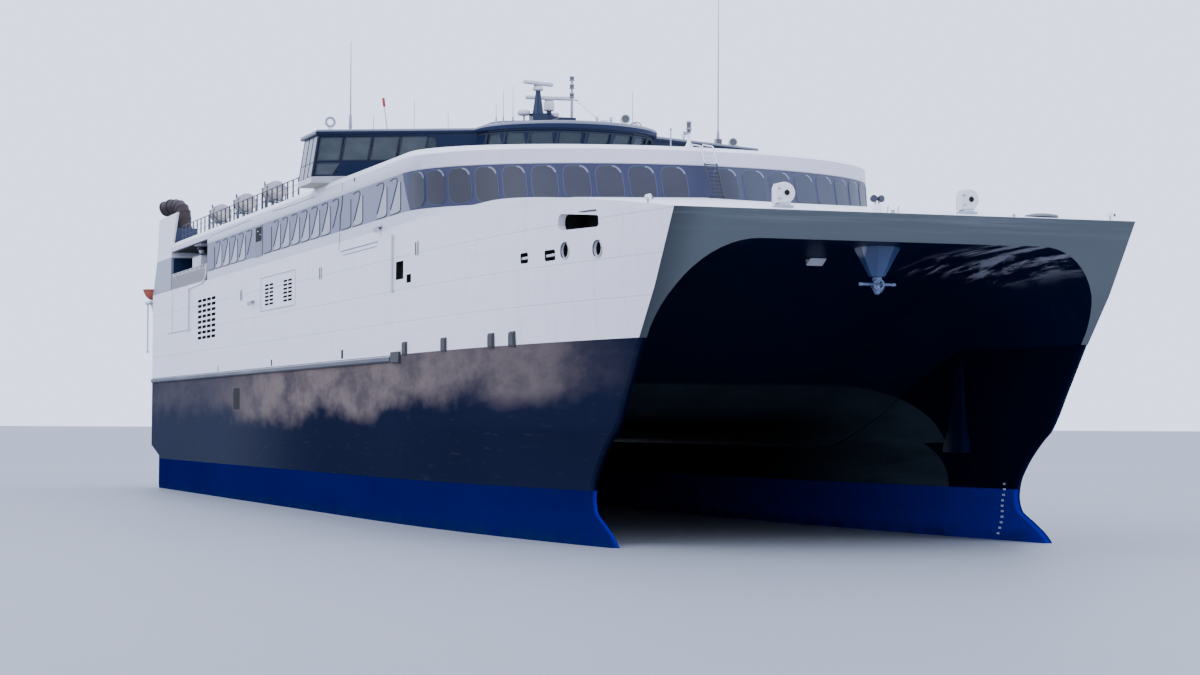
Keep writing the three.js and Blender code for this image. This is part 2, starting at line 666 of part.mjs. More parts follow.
add("radar_mast", "navy", join(mastParts));
for (const { name, x, y, z, length, turn } of RADARS) {
  const bar = new THREE.BoxGeometry(2 * SCANNER.half, length, SCANNER.high - SCANNER.low);
  bar.rotateZ(THREE.MathUtils.degToRad(turn));
  bar.translate(x, y, z + (SCANNER.low + SCANNER.high) / 2);
  const hub = rod([x, y, z - GEAR.gap + SEAM], [x, y, z + 0.02], SCANNER.hub, 12);
  add(name, "white", join([hub, solidOf(bar)]));
}

// Light mast on the plinth with three lamps, and the foremast light on the front of the roof
const LIGHT_MAST = { x: 8.3, y: 1.12, topZ: 24.0, lampZs: [22.9, 23.4, 23.82], lampR: 0.15 };
const lamps = LIGHT_MAST.lampZs.map((z) =>
  rod([LIGHT_MAST.x, LIGHT_MAST.y, z], [LIGHT_MAST.x, LIGHT_MAST.y, z + 0.18], LIGHT_MAST.lampR, 8),
);
const mastPole = rod(
  [LIGHT_MAST.x, LIGHT_MAST.y, PLINTH.topZ + SEAM],
  [LIGHT_MAST.x, LIGHT_MAST.y, LIGHT_MAST.topZ],
  0.09,
  8,
  0.06,
);
add("light_mast", "grey", join([mastPole, ...lamps]));

const FOREMAST = { x: 28.6, y: 0.27, topZ: 19.25 };
const foremast = join([
  rod([FOREMAST.x, FOREMAST.y, ROOF_Z + SEAM], [FOREMAST.x, FOREMAST.y, 18.25], 0.26, 12, 0.07),
  rod([FOREMAST.x, FOREMAST.y, 18.2], [FOREMAST.x, FOREMAST.y, FOREMAST.topZ], 0.06, 8),
  rod([FOREMAST.x, FOREMAST.y, 18.65], [FOREMAST.x, FOREMAST.y, 18.85], 0.13, 8),
  rod([FOREMAST.x, FOREMAST.y, 18.95], [FOREMAST.x, FOREMAST.y, FOREMAST.topZ], 0.15, 8),
]);
add("foremast", "white", foremast);

// Whip aerials on the wings' roofs, each on a short insulated base
const whips = [
  { name: "whip_aerial_port", x: 4.8, y: 11.15, topZ: 30.0 },
  { name: "whip_aerial_starboard", x: 4.8, y: -10.5, topZ: 25.8 },
];
for (const { name, x, y, topZ } of whips) {
  const base = BRIDGE.roofZ + SEAM;
  const whip = join([
    rod([x, y, base], [x, y, base + 1.1], 0.1, 8, 0.07),
    rod([x, y, base + 1], [x, y, topZ], 0.045, 6, 0.015),
  ]);
  add(name, "grey", whip);
}

// Exhaust elbows on the towers' casings, each turned aft and outboard over the fin
const ELBOW = { x: -46.1, y: 10.9, axisZ: 20.75, radius: 0.55, bend: 0.88, reach: 1.3, outboard: 30 };
class ElbowPath extends THREE.Curve {
  getPoint(t, target = new THREE.Vector3()) {
    const footZ = CASING.topZ + SEAM;
    const rise = ELBOW.axisZ - ELBOW.bend - footZ;
    const turnLength = (ELBOW.bend * Math.PI) / 2;
    const run = t * (rise + turnLength + ELBOW.reach);
    if (run < rise) return target.set(ELBOW.x, ELBOW.y, footZ + run);
    const turn = Math.min(1, (run - rise) / turnLength) * (Math.PI / 2);
    const beyond = Math.max(0, run - rise - turnLength);
    const away = ELBOW.bend * (1 - Math.cos(turn)) + beyond;
    const heading = THREE.MathUtils.degToRad(ELBOW.outboard);
    const x = ELBOW.x - away * Math.cos(heading);
    const y = ELBOW.y + away * Math.sin(heading);
    return target.set(x, y, footZ + rise + ELBOW.bend * Math.sin(turn));
  }
}
const ring = new THREE.Shape();
ring.absarc(0, 0, ELBOW.radius, 0, Math.PI * 2);
const elbow = solidOf(
  new THREE.ExtrudeGeometry(ring, { steps: 14, curveSegments: 6, extrudePath: new ElbowPath() }),
);
addPair("exhaust_elbow", "rust", elbow);

// Life raft canisters in their racks, three a side, on one skid
const RAFTS = { xs: [-32.6, -23.9, -14.6], y: 10.7, radius: 0.58, length: 2.3, z: 19.2 };
const RACK = { footZ: ROOF_Z + SEAM, skidTop: ROOF_Z + 0.12, skidHalf: 0.25, half: 0.6, from: 0.6, to: 0.8 };
const raftSkid = box(
  RAFTS.xs[0] - 1.5,
  RAFTS.xs.at(-1) + 1.5,
  RAFTS.y - RACK.skidHalf,
  RAFTS.y + RACK.skidHalf,
  RACK.footZ,
  RACK.skidTop,
);
const rafts = RAFTS.xs.flatMap((x) => {
  const ends = [x - RAFTS.length / 2, x + RAFTS.length / 2].map((end) => [end, RAFTS.y, RAFTS.z]);
  const acrossY = [RAFTS.y - RACK.half, RAFTS.y + RACK.half];
  return [
    rod(...ends, RAFTS.radius, 12),
    box(x - RACK.to, x - RACK.from, ...acrossY, RACK.footZ, RAFTS.z),
    box(x + RACK.from, x + RACK.to, ...acrossY, RACK.footZ, RAFTS.z),
  ];
});
addPair("life_raft_rack", "white", join([raftSkid, ...rafts]));

// Roof rails: posts and two wires along each side
const RAIL = { aftX: -43.4, frontX: -4, y: 11.45, posts: 27, wireR: 0.04, postR: 0.05 };
const WIRE_HEIGHTS = [0.55, 1.1];
const railPieces = WIRE_HEIGHTS.map((h) =>
  rod([RAIL.aftX, RAIL.y, ROOF_Z + h], [RAIL.frontX, RAIL.y, ROOF_Z + h], RAIL.wireR, 4),
);
for (let post = 0; post < RAIL.posts; post++) {
  const x = RAIL.aftX + ((RAIL.frontX - RAIL.aftX) * post) / (RAIL.posts - 1);
  railPieces.push(rod([x, RAIL.y, ROOF_Z + SEAM], [x, RAIL.y, ROOF_Z + 1.12], RAIL.postR, 4));
}
addPair("roof_rail", "grey", join(railPieces));

// Stern ramp, hinged at the vehicle deck between two lugs, closed upright against the stern frame
const rampPin = (side) =>
  rod(
    [RAMP_HINGE.x, side * (RAMP.half - 0.1), RAMP_HINGE.z],
    [RAMP_HINGE.x, side * (RAMP.half + RAMP_PIN.length), RAMP_HINGE.z],
    RAMP_PIN.radius,
    10,
  );
const rampPlate = box(
  RAMP_HINGE.x - RAMP.thick / 2,
  RAMP_HINGE.x + RAMP.thick / 2,
  -RAMP.half,
  RAMP.half,
  RAMP.lowZ,
  RAMP.highZ,
);
add("stern_ramp", "white", join([rampPlate, rampPin(1), rampPin(-1)]));

// Waterjets: two on each transom, each with a housing, a steering nozzle and a reversing bucket.
// Places along X are given from the steering pin, at the centre of the nozzle's ball.
const JETS = { ys: { inner: 8.52, outer: 10.62 }, z: 0.1, pivotX: -51.45, rootR: 0.98, mouthR: 0.8 };
const BALL = { radius: 0.7, steps: 6 };
const STEER_PIN = { radius: 0.14, length: 0.14, armHalf: 0.2 };
const OUTLET = { x: -1.35, radius: 0.5, bore: 0.42, boreEndX: -0.9 };
const BUCKET = { pivotX: JETS.pivotX - 0.85, reach: 0.95, half: 0.76, cheek: 0.08, pinR: 0.12 };
for (const [place, y] of Object.entries(JETS.ys)) {
  const ballFront = JETS.pivotX + BALL.radius + RUNNING_GAP;
  const arm = (up) =>
    box(
      JETS.pivotX - STEER_PIN.armHalf,
      ballFront + 0.4,
      y - STEER_PIN.armHalf,
      y + STEER_PIN.armHalf,
      JETS.z + up * (BALL.radius + STEER_PIN.length + SEAM),
      JETS.z + up * (BALL.radius + 0.3),
    );
  const housing = join([
    rod([JET_TRANSOM_X - SEAM, y, JETS.z], [ballFront, y, JETS.z], JETS.rootR, 20, JETS.mouthR),
    arm(1),
    arm(-1),
  ]);
  addPair("jet_housing_" + place, "steel", housing);

  const ball = Array.from({ length: BALL.steps }, (_, i) => {
    const turn = (i / BALL.steps) * (Math.PI / 2);
    return [BALL.radius * Math.sin(turn), BALL.radius * Math.cos(turn)];
  });
  const nozzleProfile = [
    ...ball,
    [BALL.radius, 0],
    [OUTLET.radius, OUTLET.x],
    [OUTLET.bore, OUTLET.x],
    [OUTLET.bore, OUTLET.boreEndX],
    [0, OUTLET.boreEndX],
  ];
  const pinReach = BALL.radius + STEER_PIN.length;
  const bucketPin = BUCKET.half - BUCKET.cheek - SEAM;
  const nozzle = join([
    lathe(nozzleProfile, [JETS.pivotX, y, JETS.z], [1, 0, 0], 16),
    rod(
      [JETS.pivotX, y, JETS.z - pinReach],
      [JETS.pivotX, y, JETS.z + pinReach],
      STEER_PIN.radius,
      10,
    ),
    rod(
      [BUCKET.pivotX, y - bucketPin, JETS.z],
      [BUCKET.pivotX, y + bucketPin, JETS.z],
      BUCKET.pinR,
      10,
    ),
  ]);
  addPair("jet_nozzle_" + place, "steel", nozzle);

  const reach = BUCKET.reach;
  const outline = (points) => points.map(([x, z]) => [BUCKET.pivotX + x, JETS.z + z]);
  const cheek = outline([
    [-0.15, -0.15],
    [0.15, -0.15],
    [0.25, reach],
    [-0.75, reach],
  ]);
  const crown = outline([
    [-0.75, reach],
    [-0.85, reach - 0.3],
    [-0.95, reach - 0.28],
    [-0.85, reach + 0.12],
    [0.25, reach + 0.12],
    [0.25, reach],
  ]);
  const bucket = join([
    prismY(cheek, y - BUCKET.half, y - BUCKET.half + BUCKET.cheek),
    prismY(cheek, y + BUCKET.half - BUCKET.cheek, y + BUCKET.half),
    prismY(crown, y - BUCKET.half, y + BUCKET.half),
  ]);
  addPair("jet_bucket_" + place, "steel", bucket);
}

// Rescue boat on its stern platform with two brackets and a hanging leg
const BOAT_DECK = { aftX: -56.2, z: 14.1, thick: 0.18, outerY: -12.1, innerY: -8.7, footZ: 12.6 };
const BRACKET = { thick: 0.2, ys: [-11.6, -9.0] };
const LEG = { x: -56.0, y: -11.9, lowZ: 10.2, radius: 0.06 };
const bracket = (y) =>
  prismY(
    [
      [STERN_X - SEAM, BOAT_DECK.footZ],
      [STERN_X - SEAM, BOAT_DECK.z - 0.1],
      [BOAT_DECK.aftX, BOAT_DECK.z - 0.1],
    ],
    y - BRACKET.thick / 2,
    y + BRACKET.thick / 2,
  );
const boatDeck = box(
  BOAT_DECK.aftX,
  STERN_X - SEAM,
  BOAT_DECK.outerY,
  BOAT_DECK.innerY,
  BOAT_DECK.z - BOAT_DECK.thick,
  BOAT_DECK.z,
);
const leg = rod([LEG.x, LEG.y, LEG.lowZ], [LEG.x, LEG.y, BOAT_DECK.z - 0.1], LEG.radius, 6);
add("boat_platform", "white", join([boatDeck, leg, ...BRACKET.ys.map(bracket)]));

// Sections of the boat across its length: place, half breadth and depth below the gunwale
const BOAT = { x: -55.2, gunwaleZ: BOAT_DECK.z + 0.95 };
const boatSections = [
  { y: -12.0, half: 0.45, depth: 0.75 },
  { y: -11.5, half: 0.62, depth: 0.95 - SEAM },
  { y: -10.2, half: 0.62, depth: 0.95 - SEAM },
  { y: -9.2, half: 0.3, depth: 0.7 },
];
const rescueBoat = loft(
  boatSections.map(({ y, half, depth }) => [
    [BOAT.x - half, y, BOAT.gunwaleZ],
    [BOAT.x - half * 0.8, y, BOAT.gunwaleZ - depth * 0.7],
    [BOAT.x, y, BOAT.gunwaleZ - depth],
    [BOAT.x + half * 0.8, y, BOAT.gunwaleZ - depth * 0.7],
    [BOAT.x + half, y, BOAT.gunwaleZ],
  ]),
  [0, 2],
);
add("rescue_boat", "orange", rescueBoat);

// Slewing davit beside the boat: a post on its bracket, and a turning arm
const DAVIT = { x: -55.2, y: -8.3, seatZ: 14.9, headZ: 16.9, reach: 2.2 };
const davitPost = join([
  box(DAVIT.x - 0.25, STERN_X - SEAM, DAVIT.y - 0.22, DAVIT.y + 0.22, 13.7, BOAT_DECK.z),
  rod([DAVIT.x, DAVIT.y, 14.0], [DAVIT.x, DAVIT.y, DAVIT.seatZ], 0.2, 10),
]);
add("davit_post", "white", davitPost);
const davitArm = join([
  rod([DAVIT.x, DAVIT.y, DAVIT.seatZ + SEAM], [DAVIT.x, DAVIT.y, DAVIT.headZ], 0.16, 10),
  rod(
    [DAVIT.x, DAVIT.y, DAVIT.headZ - 0.15],
    [DAVIT.x, DAVIT.y - DAVIT.reach, DAVIT.headZ + 0.2],
    0.12,
    8,
  ),
]);
add("davit_arm", "white", davitArm);

// Foredeck: fog horns in their housings, and the ladder from the deck to the roof
const HORN = { x: 50, y: 3.98, half: 0.3, drumR: 0.42, drumZ: 0.75 };
const hornShare = HORN.y / outerY(HORN.x, BOW_X);
const hornDeckZ = deckZ(HORN.x, hornShare);
const horn = join([
  box(
    HORN.x - HORN.half,
    HORN.x + HORN.half,
    HORN.y - HORN.half,
    HORN.y + HORN.half,
    hornDeckZ + 0.04,
    hornDeckZ + 0.6,
  ),
  rod(
    [HORN.x - 0.25, HORN.y, hornDeckZ + HORN.drumZ],
    [HORN.x + HORN.half, HORN.y, hornDeckZ + HORN.drumZ],
    HORN.drumR,
    16,
  ),
]);
addPair("horn_unit", "white", horn);

const LADDER = { y: 0.34, half: 0.3, footX: 32.2, headX: 30.7, headZ: 18.05, hookX: 29.4, r: 0.035 };
const RUNGS = 8;
const ladderFootZ = deckZ(LADDER.footX, 0) + SEAM;
const LAP = 0.05;
const rimRun = RIM.fasciaReach - RIM.roofReach;
const rimShare = (LADDER.hookX - LADDER.r - FRONT_CENTRE_X - RIM.roofReach) / rimRun;
const ladderHookZ = ROOF_Z - (ROOF_Z - FASCIA_TOP_Z) * rimShare + SEAM;
const stiles = [LADDER.y - LADDER.half, LADDER.y + LADDER.half].flatMap((y) => {
  const head = [LADDER.headX, y, LADDER.headZ];
  return [
    rod([LADDER.footX, y, ladderFootZ], [LADDER.footX, y, ladderFootZ + 3 * LAP], LADDER.r, 4),
    rod([LADDER.footX, y, ladderFootZ + 2 * LAP], head, LADDER.r, 4),
    rod(head, [LADDER.hookX - LAP, y, LADDER.headZ], LADDER.r, 4),
    rod([LADDER.hookX, y, ladderHookZ], [LADDER.hookX, y, LADDER.headZ + LAP], LADDER.r, 4),
  ];
});
const rungs = Array.from({ length: RUNGS }, (_, i) => {
  const share = (i + 0.5) / RUNGS;
  const x = LADDER.footX + (LADDER.headX - LADDER.footX) * share;
  const z = ladderFootZ + (LADDER.headZ - ladderFootZ) * share;
  return rod([x, LADDER.y - LADDER.half, z], [x, LADDER.y + LADDER.half, z], LADDER.r, 4);
});
add("front_ladder", "grey", join([...stiles, ...rungs]));

// Anchor under its hawse cone, in the vault of the bow mouth
const ANCHOR = { x: 50.1, z: 10.42, stockHalf: 0.8, stockR: 0.07, shankR: 0.2 };
const HAWSE = { lowR: 0.35, highR: 0.75, highZ: 11.95 };
const hawseCone = rod(
  [ANCHOR.x, 0, ANCHOR.z + 0.25],
  [ANCHOR.x, 0, HAWSE.highZ],
  HAWSE.lowR,
  16,
  HAWSE.highR,
);
const anchor = join([
  hawseCone.intersect(passageForm(SEAM)),
  rod(
    [ANCHOR.x, -ANCHOR.stockHalf, ANCHOR.z],
    [ANCHOR.x, ANCHOR.stockHalf, ANCHOR.z],
    ANCHOR.stockR,
    8,
  ),
  rod([ANCHOR.x, 0, ANCHOR.z - 0.4], [ANCHOR.x, 0, ANCHOR.z + 0.35], ANCHOR.shankR, 10),
]);
add("anchor", "paleBlue", anchor);

export default ferry;
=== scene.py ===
import math

import bmesh
import bpy
from mathutils import Matrix, Vector


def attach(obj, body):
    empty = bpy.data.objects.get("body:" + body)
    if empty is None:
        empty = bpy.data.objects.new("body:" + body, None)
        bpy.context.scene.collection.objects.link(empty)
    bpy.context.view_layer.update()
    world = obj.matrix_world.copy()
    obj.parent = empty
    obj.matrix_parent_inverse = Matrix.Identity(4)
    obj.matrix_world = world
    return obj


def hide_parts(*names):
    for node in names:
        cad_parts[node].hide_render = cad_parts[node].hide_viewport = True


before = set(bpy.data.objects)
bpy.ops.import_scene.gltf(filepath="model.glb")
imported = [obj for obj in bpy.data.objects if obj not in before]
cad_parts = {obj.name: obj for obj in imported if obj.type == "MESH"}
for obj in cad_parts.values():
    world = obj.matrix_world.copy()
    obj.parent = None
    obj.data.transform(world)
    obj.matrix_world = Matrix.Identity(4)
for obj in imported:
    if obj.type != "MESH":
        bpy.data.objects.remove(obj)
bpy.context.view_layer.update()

# Camera: low and ahead of the starboard bow, where the photograph was taken.
# Its place and turn were found from the ship's known corners in the picture.
YAW, PITCH, ROLL = 2.8112, 0.0340, 0.0051
look = Vector((math.cos(YAW) * math.cos(PITCH), math.sin(YAW) * math.cos(PITCH), math.sin(PITCH)))
level_right = Vector((math.sin(YAW), -math.cos(YAW), 0))
level_up = level_right.cross(look)
camera_right = math.cos(ROLL) * level_right + math.sin(ROLL) * level_up
camera_up = math.cos(ROLL) * level_up - math.sin(ROLL) * level_right
camera = bpy.data.objects.new("photo_camera", bpy.data.cameras.new("photo_camera"))
camera.data.sensor_width = 36
camera.data.lens = 77.04
camera.data.clip_end = 500
camera.matrix_world = Matrix((camera_right, camera_up, -look)).transposed().to_4x4()
camera.location = (14.1998, -4.3025, 0.4843)
bpy.context.scene.collection.objects.link(camera)
bpy.context.scene.camera = camera

# Light: a pale overcast sky, a broad soft key from ahead and to starboard, and a weak fill
# from the port bow.
sky = bpy.data.worlds.new("overcast_sky")
sky.use_nodes = True
sky.node_tree.nodes["Background"].inputs["Color"].default_value = (0.67, 0.745, 1.0, 1)
sky.node_tree.nodes["Background"].inputs["Strength"].default_value = 2.55
bpy.context.scene.world = sky
lights = [
    # name, place, size, power
    ("key_light", (7, -16, 14), 14, 1300),
    ("fill_light", (16, 12, 7), 8, 600),
]
for name, place, size, power in lights:
    light = bpy.data.objects.new(name, bpy.data.lights.new(name, "AREA"))
    light.data.size = size
    light.data.energy = power
    light.location = place
    light.rotation_mode = "QUATERNION"
    light.rotation_quaternion = (Vector((1, 0, 1)) - Vector(place)).to_track_quat("-Z", "Y")
    bpy.context.scene.collection.objects.link(light)


class Wire:
    """A shader socket. Python's operators on it add Math nodes to the finish."""

    def __init__(self, finish, socket):
        self.finish, self.socket = finish, socket

    def maths(self, operation, *values):
        return self.finish.node("ShaderNodeMath", {"operation": operation}, *values)

    def __add__(self, other):
        return self.maths("ADD", self, other)

    def __sub__(self, other):
        return self.maths("SUBTRACT", self, other)

    def __rsub__(self, other):
        return self.maths("SUBTRACT", other, self)

    def __mul__(self, other):
        return self.maths("MULTIPLY", self, other)

    def __truediv__(self, other):
        return self.maths("DIVIDE", self, other)

    def __pow__(self, other):
        return self.maths("POWER", self, other)

    __radd__, __rmul__ = __add__, __mul__

    def size(self):
        return self.maths("ABSOLUTE", self)

    def wrap(self, length):
        """The distance along each repeat of a length, from 0 to that length."""
        return self.maths("FLOORED_MODULO", self, length)

    def rise(self, low, high):
        """0 below low, 1 above high, and a smooth step between them; high may be the lower."""
        settings = {"interpolation_type": "SMOOTHSTEP"}
        return self.finish.node("ShaderNodeMapRange", settings, self, low, high, 0.0, 1.0)

    def band(self, low, high, soft):
        return self.rise(low - soft, low) * self.rise(high + soft, high)


SHIP = 0.1


class Finish:
    """A material with its shader, and the ship's coordinates in full-size metres."""

    def __init__(self, name, **constants):
        self.material = bpy.data.materials.new(name)
        self.material.use_nodes = True
        self.tree = self.material.node_tree
        self.shader = self.tree.nodes["Principled BSDF"]
        for socket, value in constants.items():
            self.shader.inputs[socket.replace("_", " ")].default_value = value
        where = self.node("ShaderNodeTexCoord", {}, take="Object")
        grown = {"operation": "SCALE"}
        self.ship = self.node("ShaderNodeVectorMath", grown, where, Scale=1 / SHIP)
        parts = self.node("ShaderNodeSeparateXYZ", {}, self.ship).socket.node
        self.x, self.y, self.z = (Wire(self, output) for output in parts.outputs)

    def node(self, kind, settings, *values, take=0, **named):
        node = self.tree.nodes.new(kind)
        for setting, value in settings.items():
            setattr(node, setting, value)
        for place, value in [*enumerate(values), *named.items()]:
            socket = node.inputs[place]
            if isinstance(value, Wire):
                self.tree.links.new(value.socket, socket)
            elif socket.type == "RGBA":
                socket.default_value = (*value, 1)
            else:
                socket.default_value = value
        return Wire(self, node.outputs[take])

    def noise(self, size, stretch=(1, 1, 1), detail=4, rough=0.55):
        """Cloudy values round 0.5; size is the clouds' width in ship metres."""
        scaled = self.node("ShaderNodeMapping", {}, self.ship, Scale=stretch)
        values = {"Scale": 1 / size, "Detail": detail, "Roughness": rough}
        return self.node("ShaderNodeTexNoise", {}, scaled, **values)

    def mix(self, share, low, high):
        node = self.tree.nodes.new("ShaderNodeMix")
        node.data_type = "RGBA"
        for place, value in ((0, share), (6, low), (7, high)):
            if isinstance(value, Wire):
                self.tree.links.new(value.socket, node.inputs[place])
            else:
                node.inputs[place].default_value = (*value, 1) if place else value
        return Wire(self, node.outputs[2])

    def coat(self, **wires):
        for socket, wire in wires.items():
            self.tree.links.new(wire.socket, self.shader.inputs[socket.replace("_", " ")])
        return self

    def relief(self, height, depth):
        """Bump from a height of 0 to 1, with its depth in ship metres."""
        return self.node("ShaderNodeBump", {}, Height=height, Distance=depth * SHIP)


def two_tone(name, low, high, clouds, rough=None, waves=None, depth=None, **constants):
    """A finish between two colours by one noise, which may also set its roughness and relief."""
    finish = Finish(name, **constants)
    shade = finish.noise(*clouds)
    finish.coat(Base_Color=finish.mix(shade, low, high))
    if rough:
        finish.coat(Roughness=shade * rough[0] + rough[1])
    if depth:
        finish.coat(Normal=finish.relief(finish.noise(*waves) if waves else shade, depth))
    return finish


# Floor: a plain pale studio floor at the waterline, as the ship is afloat.
# It hides what lies below the waterline and runs on to the horizon.
FLOOR_HALF = 300
floor_mesh = bpy.data.meshes.new("studio_floor")
floor_corners = [(x * FLOOR_HALF, y * FLOOR_HALF, 0) for x, y in ((-1, -1), (1, -1), (1, 1), (-1, 1))]
floor_mesh.from_pydata(floor_corners, [], [(0, 1, 2, 3)])
floor_paint = two_tone("floor_paint", (0.25, 0.265, 0.29), (0.29, 0.305, 0.33), (60,), Roughness=0.55)
floor_mesh.materials.append(floor_paint.material)
floor = bpy.data.objects.new("studio_floor", floor_mesh)
bpy.context.scene.collection.objects.link(floor)


def circle(count, radius, start=0.0):
    """Points (across, up) round a circle; start moves the first by a share of a step."""
    turns = [math.tau * (i + start) / count for i in range(count)]
    return [(radius * math.cos(turn), radius * math.sin(turn)) for turn in turns]


def fan(steps, whole=math.pi):
    """Angles from 0 to a whole in even steps."""
    return [i / steps * whole for i in range(steps + 1)]


class Shell:
    """Points and faces of a piece in the ship's metres, each face with its finish."""

    def __init__(self, finish):
        self.finish = finish
        self.points, self.faces, self.finishes = [], [], []

    def add(self, points, faces, finish=None):
        start = len(self.points)
        self.points += [tuple(point) for point in points]
        self.faces += [[start + corner for corner in face] for face in faces]
        self.finishes += [finish or self.finish] * len(faces)
        return self

    def loft(self, rings, finish=None, end_finish=None, ends=True):
        """A skin through closed rings that have the same number of points, with both ends shut."""
        count = len(rings[0])
        faces = []
        for ring in range(len(rings) - 1):
            for i in range(count):
                a, b = ring * count + i, ring * count + (i + 1) % count
                faces.append((a, b, b + count, a + count))
        self.add([point for ring in rings for point in ring], faces, finish)
        if ends:
            self.add(rings[0], [range(count)[::-1]], end_finish or finish)
            self.add(rings[-1], [range(count)], end_finish or finish)
        return self

    def slab(self, outline, y0, y1, finish=None):
        """A slab with an outline of (x, z) points, between two places across the ship."""
        return self.loft([[(x, y, z) for x, z in outline] for y in (y0, y1)], finish)

    def box(self, x0, x1, y0, y1, z0, z1, finish=None):
        return self.loft([[(x0, y0, z), (x1, y0, z), (x1, y1, z), (x0, y1, z)] for z in (z0, z1)], finish)

    def block(self, centre, half_x, half_y, half_z, finish=None):
        """A box about its centre."""
        x, y, z = centre
        return self.box(x - half_x, x + half_x, y - half_y, y + half_y, z - half_z, z + half_z, finish)

    def rod(self, start, end, radius, tip=None, sides=16, finish=None):
        """A round bar, or a cone where tip, the radius at its end, differs."""
        way = Vector(end) - Vector(start)
        return self.turned([(0, radius), (way.length, tip or radius)], start, sides, finish, way)

    def turned(self, profile, start, sides=24, finish=None, axis=(0, 0, 1)):
        """A turned piece: profile gives (distance along the axis, radius) from its start."""
        turn = Vector(axis).to_track_quat("Z", "Y").to_matrix()
        rings = [[Vector(start) + turn @ Vector((*spoke, distance)) for spoke in circle(sides, radius)]
                 for distance, radius in profile]
        return self.loft(rings, finish)

    def tube(self, path, radius, sides=8, finish=None):
        """A pipe that follows a path of points."""
        rings = []
        for i, point in enumerate(path):
            before, after = path[max(0, i - 1)], path[min(len(path) - 1, i + 1)]
            turn = (Vector(after) - Vector(before)).to_track_quat("Z", "Y").to_matrix()
            rings.append([Vector(point) + turn @ Vector((*spoke, 0)) for spoke in circle(sides, radius)])
        return self.loft(rings, finish)

    def mirrored(self):
        """Adds the same again on the other side of the ship."""
        start = len(self.points)
        self.points += [(x, -y, z) for x, y, z in self.points]
        self.faces += [[start + corner for corner in face[::-1]] for face in self.faces]
        self.finishes += self.finishes
        return self

    def mesh(self):
        finishes = list(dict.fromkeys(self.finishes))
        mesh = bpy.data.meshes.new("shell")
        mesh.from_pydata([Vector(point) * SHIP for point in self.points], [], self.faces)
        for finish in finishes:
            mesh.materials.append(finish.material)
        for polygon, finish in zip(mesh.polygons, self.finishes):
            polygon.material_index = finishes.index(finish)
        work = bmesh.new()
        work.from_mesh(mesh)
        bmesh.ops.remove_doubles(work, verts=work.verts, dist=1e-5)
        bmesh.ops.dissolve_degenerate(work, edges=work.edges, dist=1e-6)
        bmesh.ops.recalc_face_normals(work, faces=work.faces)
        work.to_mesh(mesh)
        work.free()
        return mesh


def span(sign, near, far):
    """Two distances from the centreline on one side of the ship, the lower place first."""
    return sorted((sign * near, sign * far))


def carve(base, *cuts):
    """Cuts, joins or crosses shells by exact booleans; each cut is an operation and a shell."""
    blanks = []

    def blank(shape):
        mesh = shape.mesh() if isinstance(shape, Shell) else shape
        blanks.append(bpy.data.objects.new("blank", mesh))
        bpy.context.scene.collection.objects.link(blanks[-1])
        return blanks[-1]

    worked = blank(base)
    for operation, cutter in cuts:
        modifier = worked.modifiers.new(operation, "BOOLEAN")
        modifier.operation = operation
        modifier.solver = "EXACT"
        modifier.material_mode = "TRANSFER"
        modifier.object = blank(cutter)
    mesh = bpy.data.meshes.new_from_object(worked.evaluated_get(bpy.context.evaluated_depsgraph_get()))
    for used in blanks:
        bpy.data.objects.remove(used)
    return mesh


def piece(name, shape, body="hull", replaces=(), bevel=None, sharp=30):
    """Links a finished piece at the origin, with its edges sharp past an angle in degrees."""
    mesh = shape.mesh() if isinstance(shape, Shell) else shape
    mesh.name = name
    mesh.shade_smooth()
    mesh.set_sharp_from_angle(angle=math.radians(sharp))
    made = bpy.data.objects.new(name, mesh)
    bpy.context.scene.collection.objects.link(made)
    if bevel:
        edges = made.modifiers.new("worn_edges", "BEVEL")
        edges.width = bevel * SHIP
        edges.segments = 2
        edges.limit_method = "ANGLE"
        edges.angle_limit = math.radians(40)
        edges.harden_normals = True
    if replaces:
        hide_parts(*replaces)
    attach(made, body)
    return made


# Demihulls: two slender welded aluminium hulls with a bulb at the forefoot. They are painted gloss
# navy above a blue antifouling, and the side of the tunnel aft of the bow is bare metal.
SIDES = ("port", "starboard")
BOTH_SIDES = tuple(zip(SIDES, (1, -1)))
# A hair's breadth keeps two skins apart, and BEYOND is a place outboard of every side
HAIR, BEYOND = 0.003, 13
HALF_BEAM = 11.9
STEM_Y, STEM_HALF, TUNNEL_HALF = 9.57, 0.15, 7.2
ENTRY_X, STERN_X = 22, -53.6
HULL_TOP_Z, ANTIFOULING_Z = 8.2, 2.17
HULL_WATERLINES = [
    # height, stem, stern, fullness, start of the entry
    (-3.65, 40.5, -44, 0.12, 4),
    (-3.35, 44.2, -47, 0.5, 6),
    (-2.5, 46.6, -50, 0.82, 8),
    (-1.2, 47.2, -50, 0.95, 10),
    (-0.2, 46.8, -50, 0.98, 11),
    (0.3, 46.2, -50, 1, 12),
    (0.81, 45.1, -50, 1, 12),
    (1.3, 44.0, -50, 1, 13),
    (1.85, 43.78, -50, 1, 14),
    (2.4, 43.9, -50, 1, 15),
    (3.17, 44.5, -53.6, 1, 17),
    (4.22, 45.86, -53.6, 1, 20),
    (4.7, 46.65, -53.6, 1, 22),
    (6.38, 48.05, -53.6, 1, 22),
    (8.197, 49.5, -53.6, 1, 22),
]


def along(x, entry_x, stem_x):
    return min(1, max(0, (x - entry_x) / (stem_x - entry_x)))


def outer_y(x, stem_x, full=1, entry_x=ENTRY_X):
    swell = (HALF_BEAM - STEM_Y - STEM_HALF) * full
    return STEM_Y + STEM_HALF + swell * (1 - along(x, entry_x, stem_x) ** 2.4)


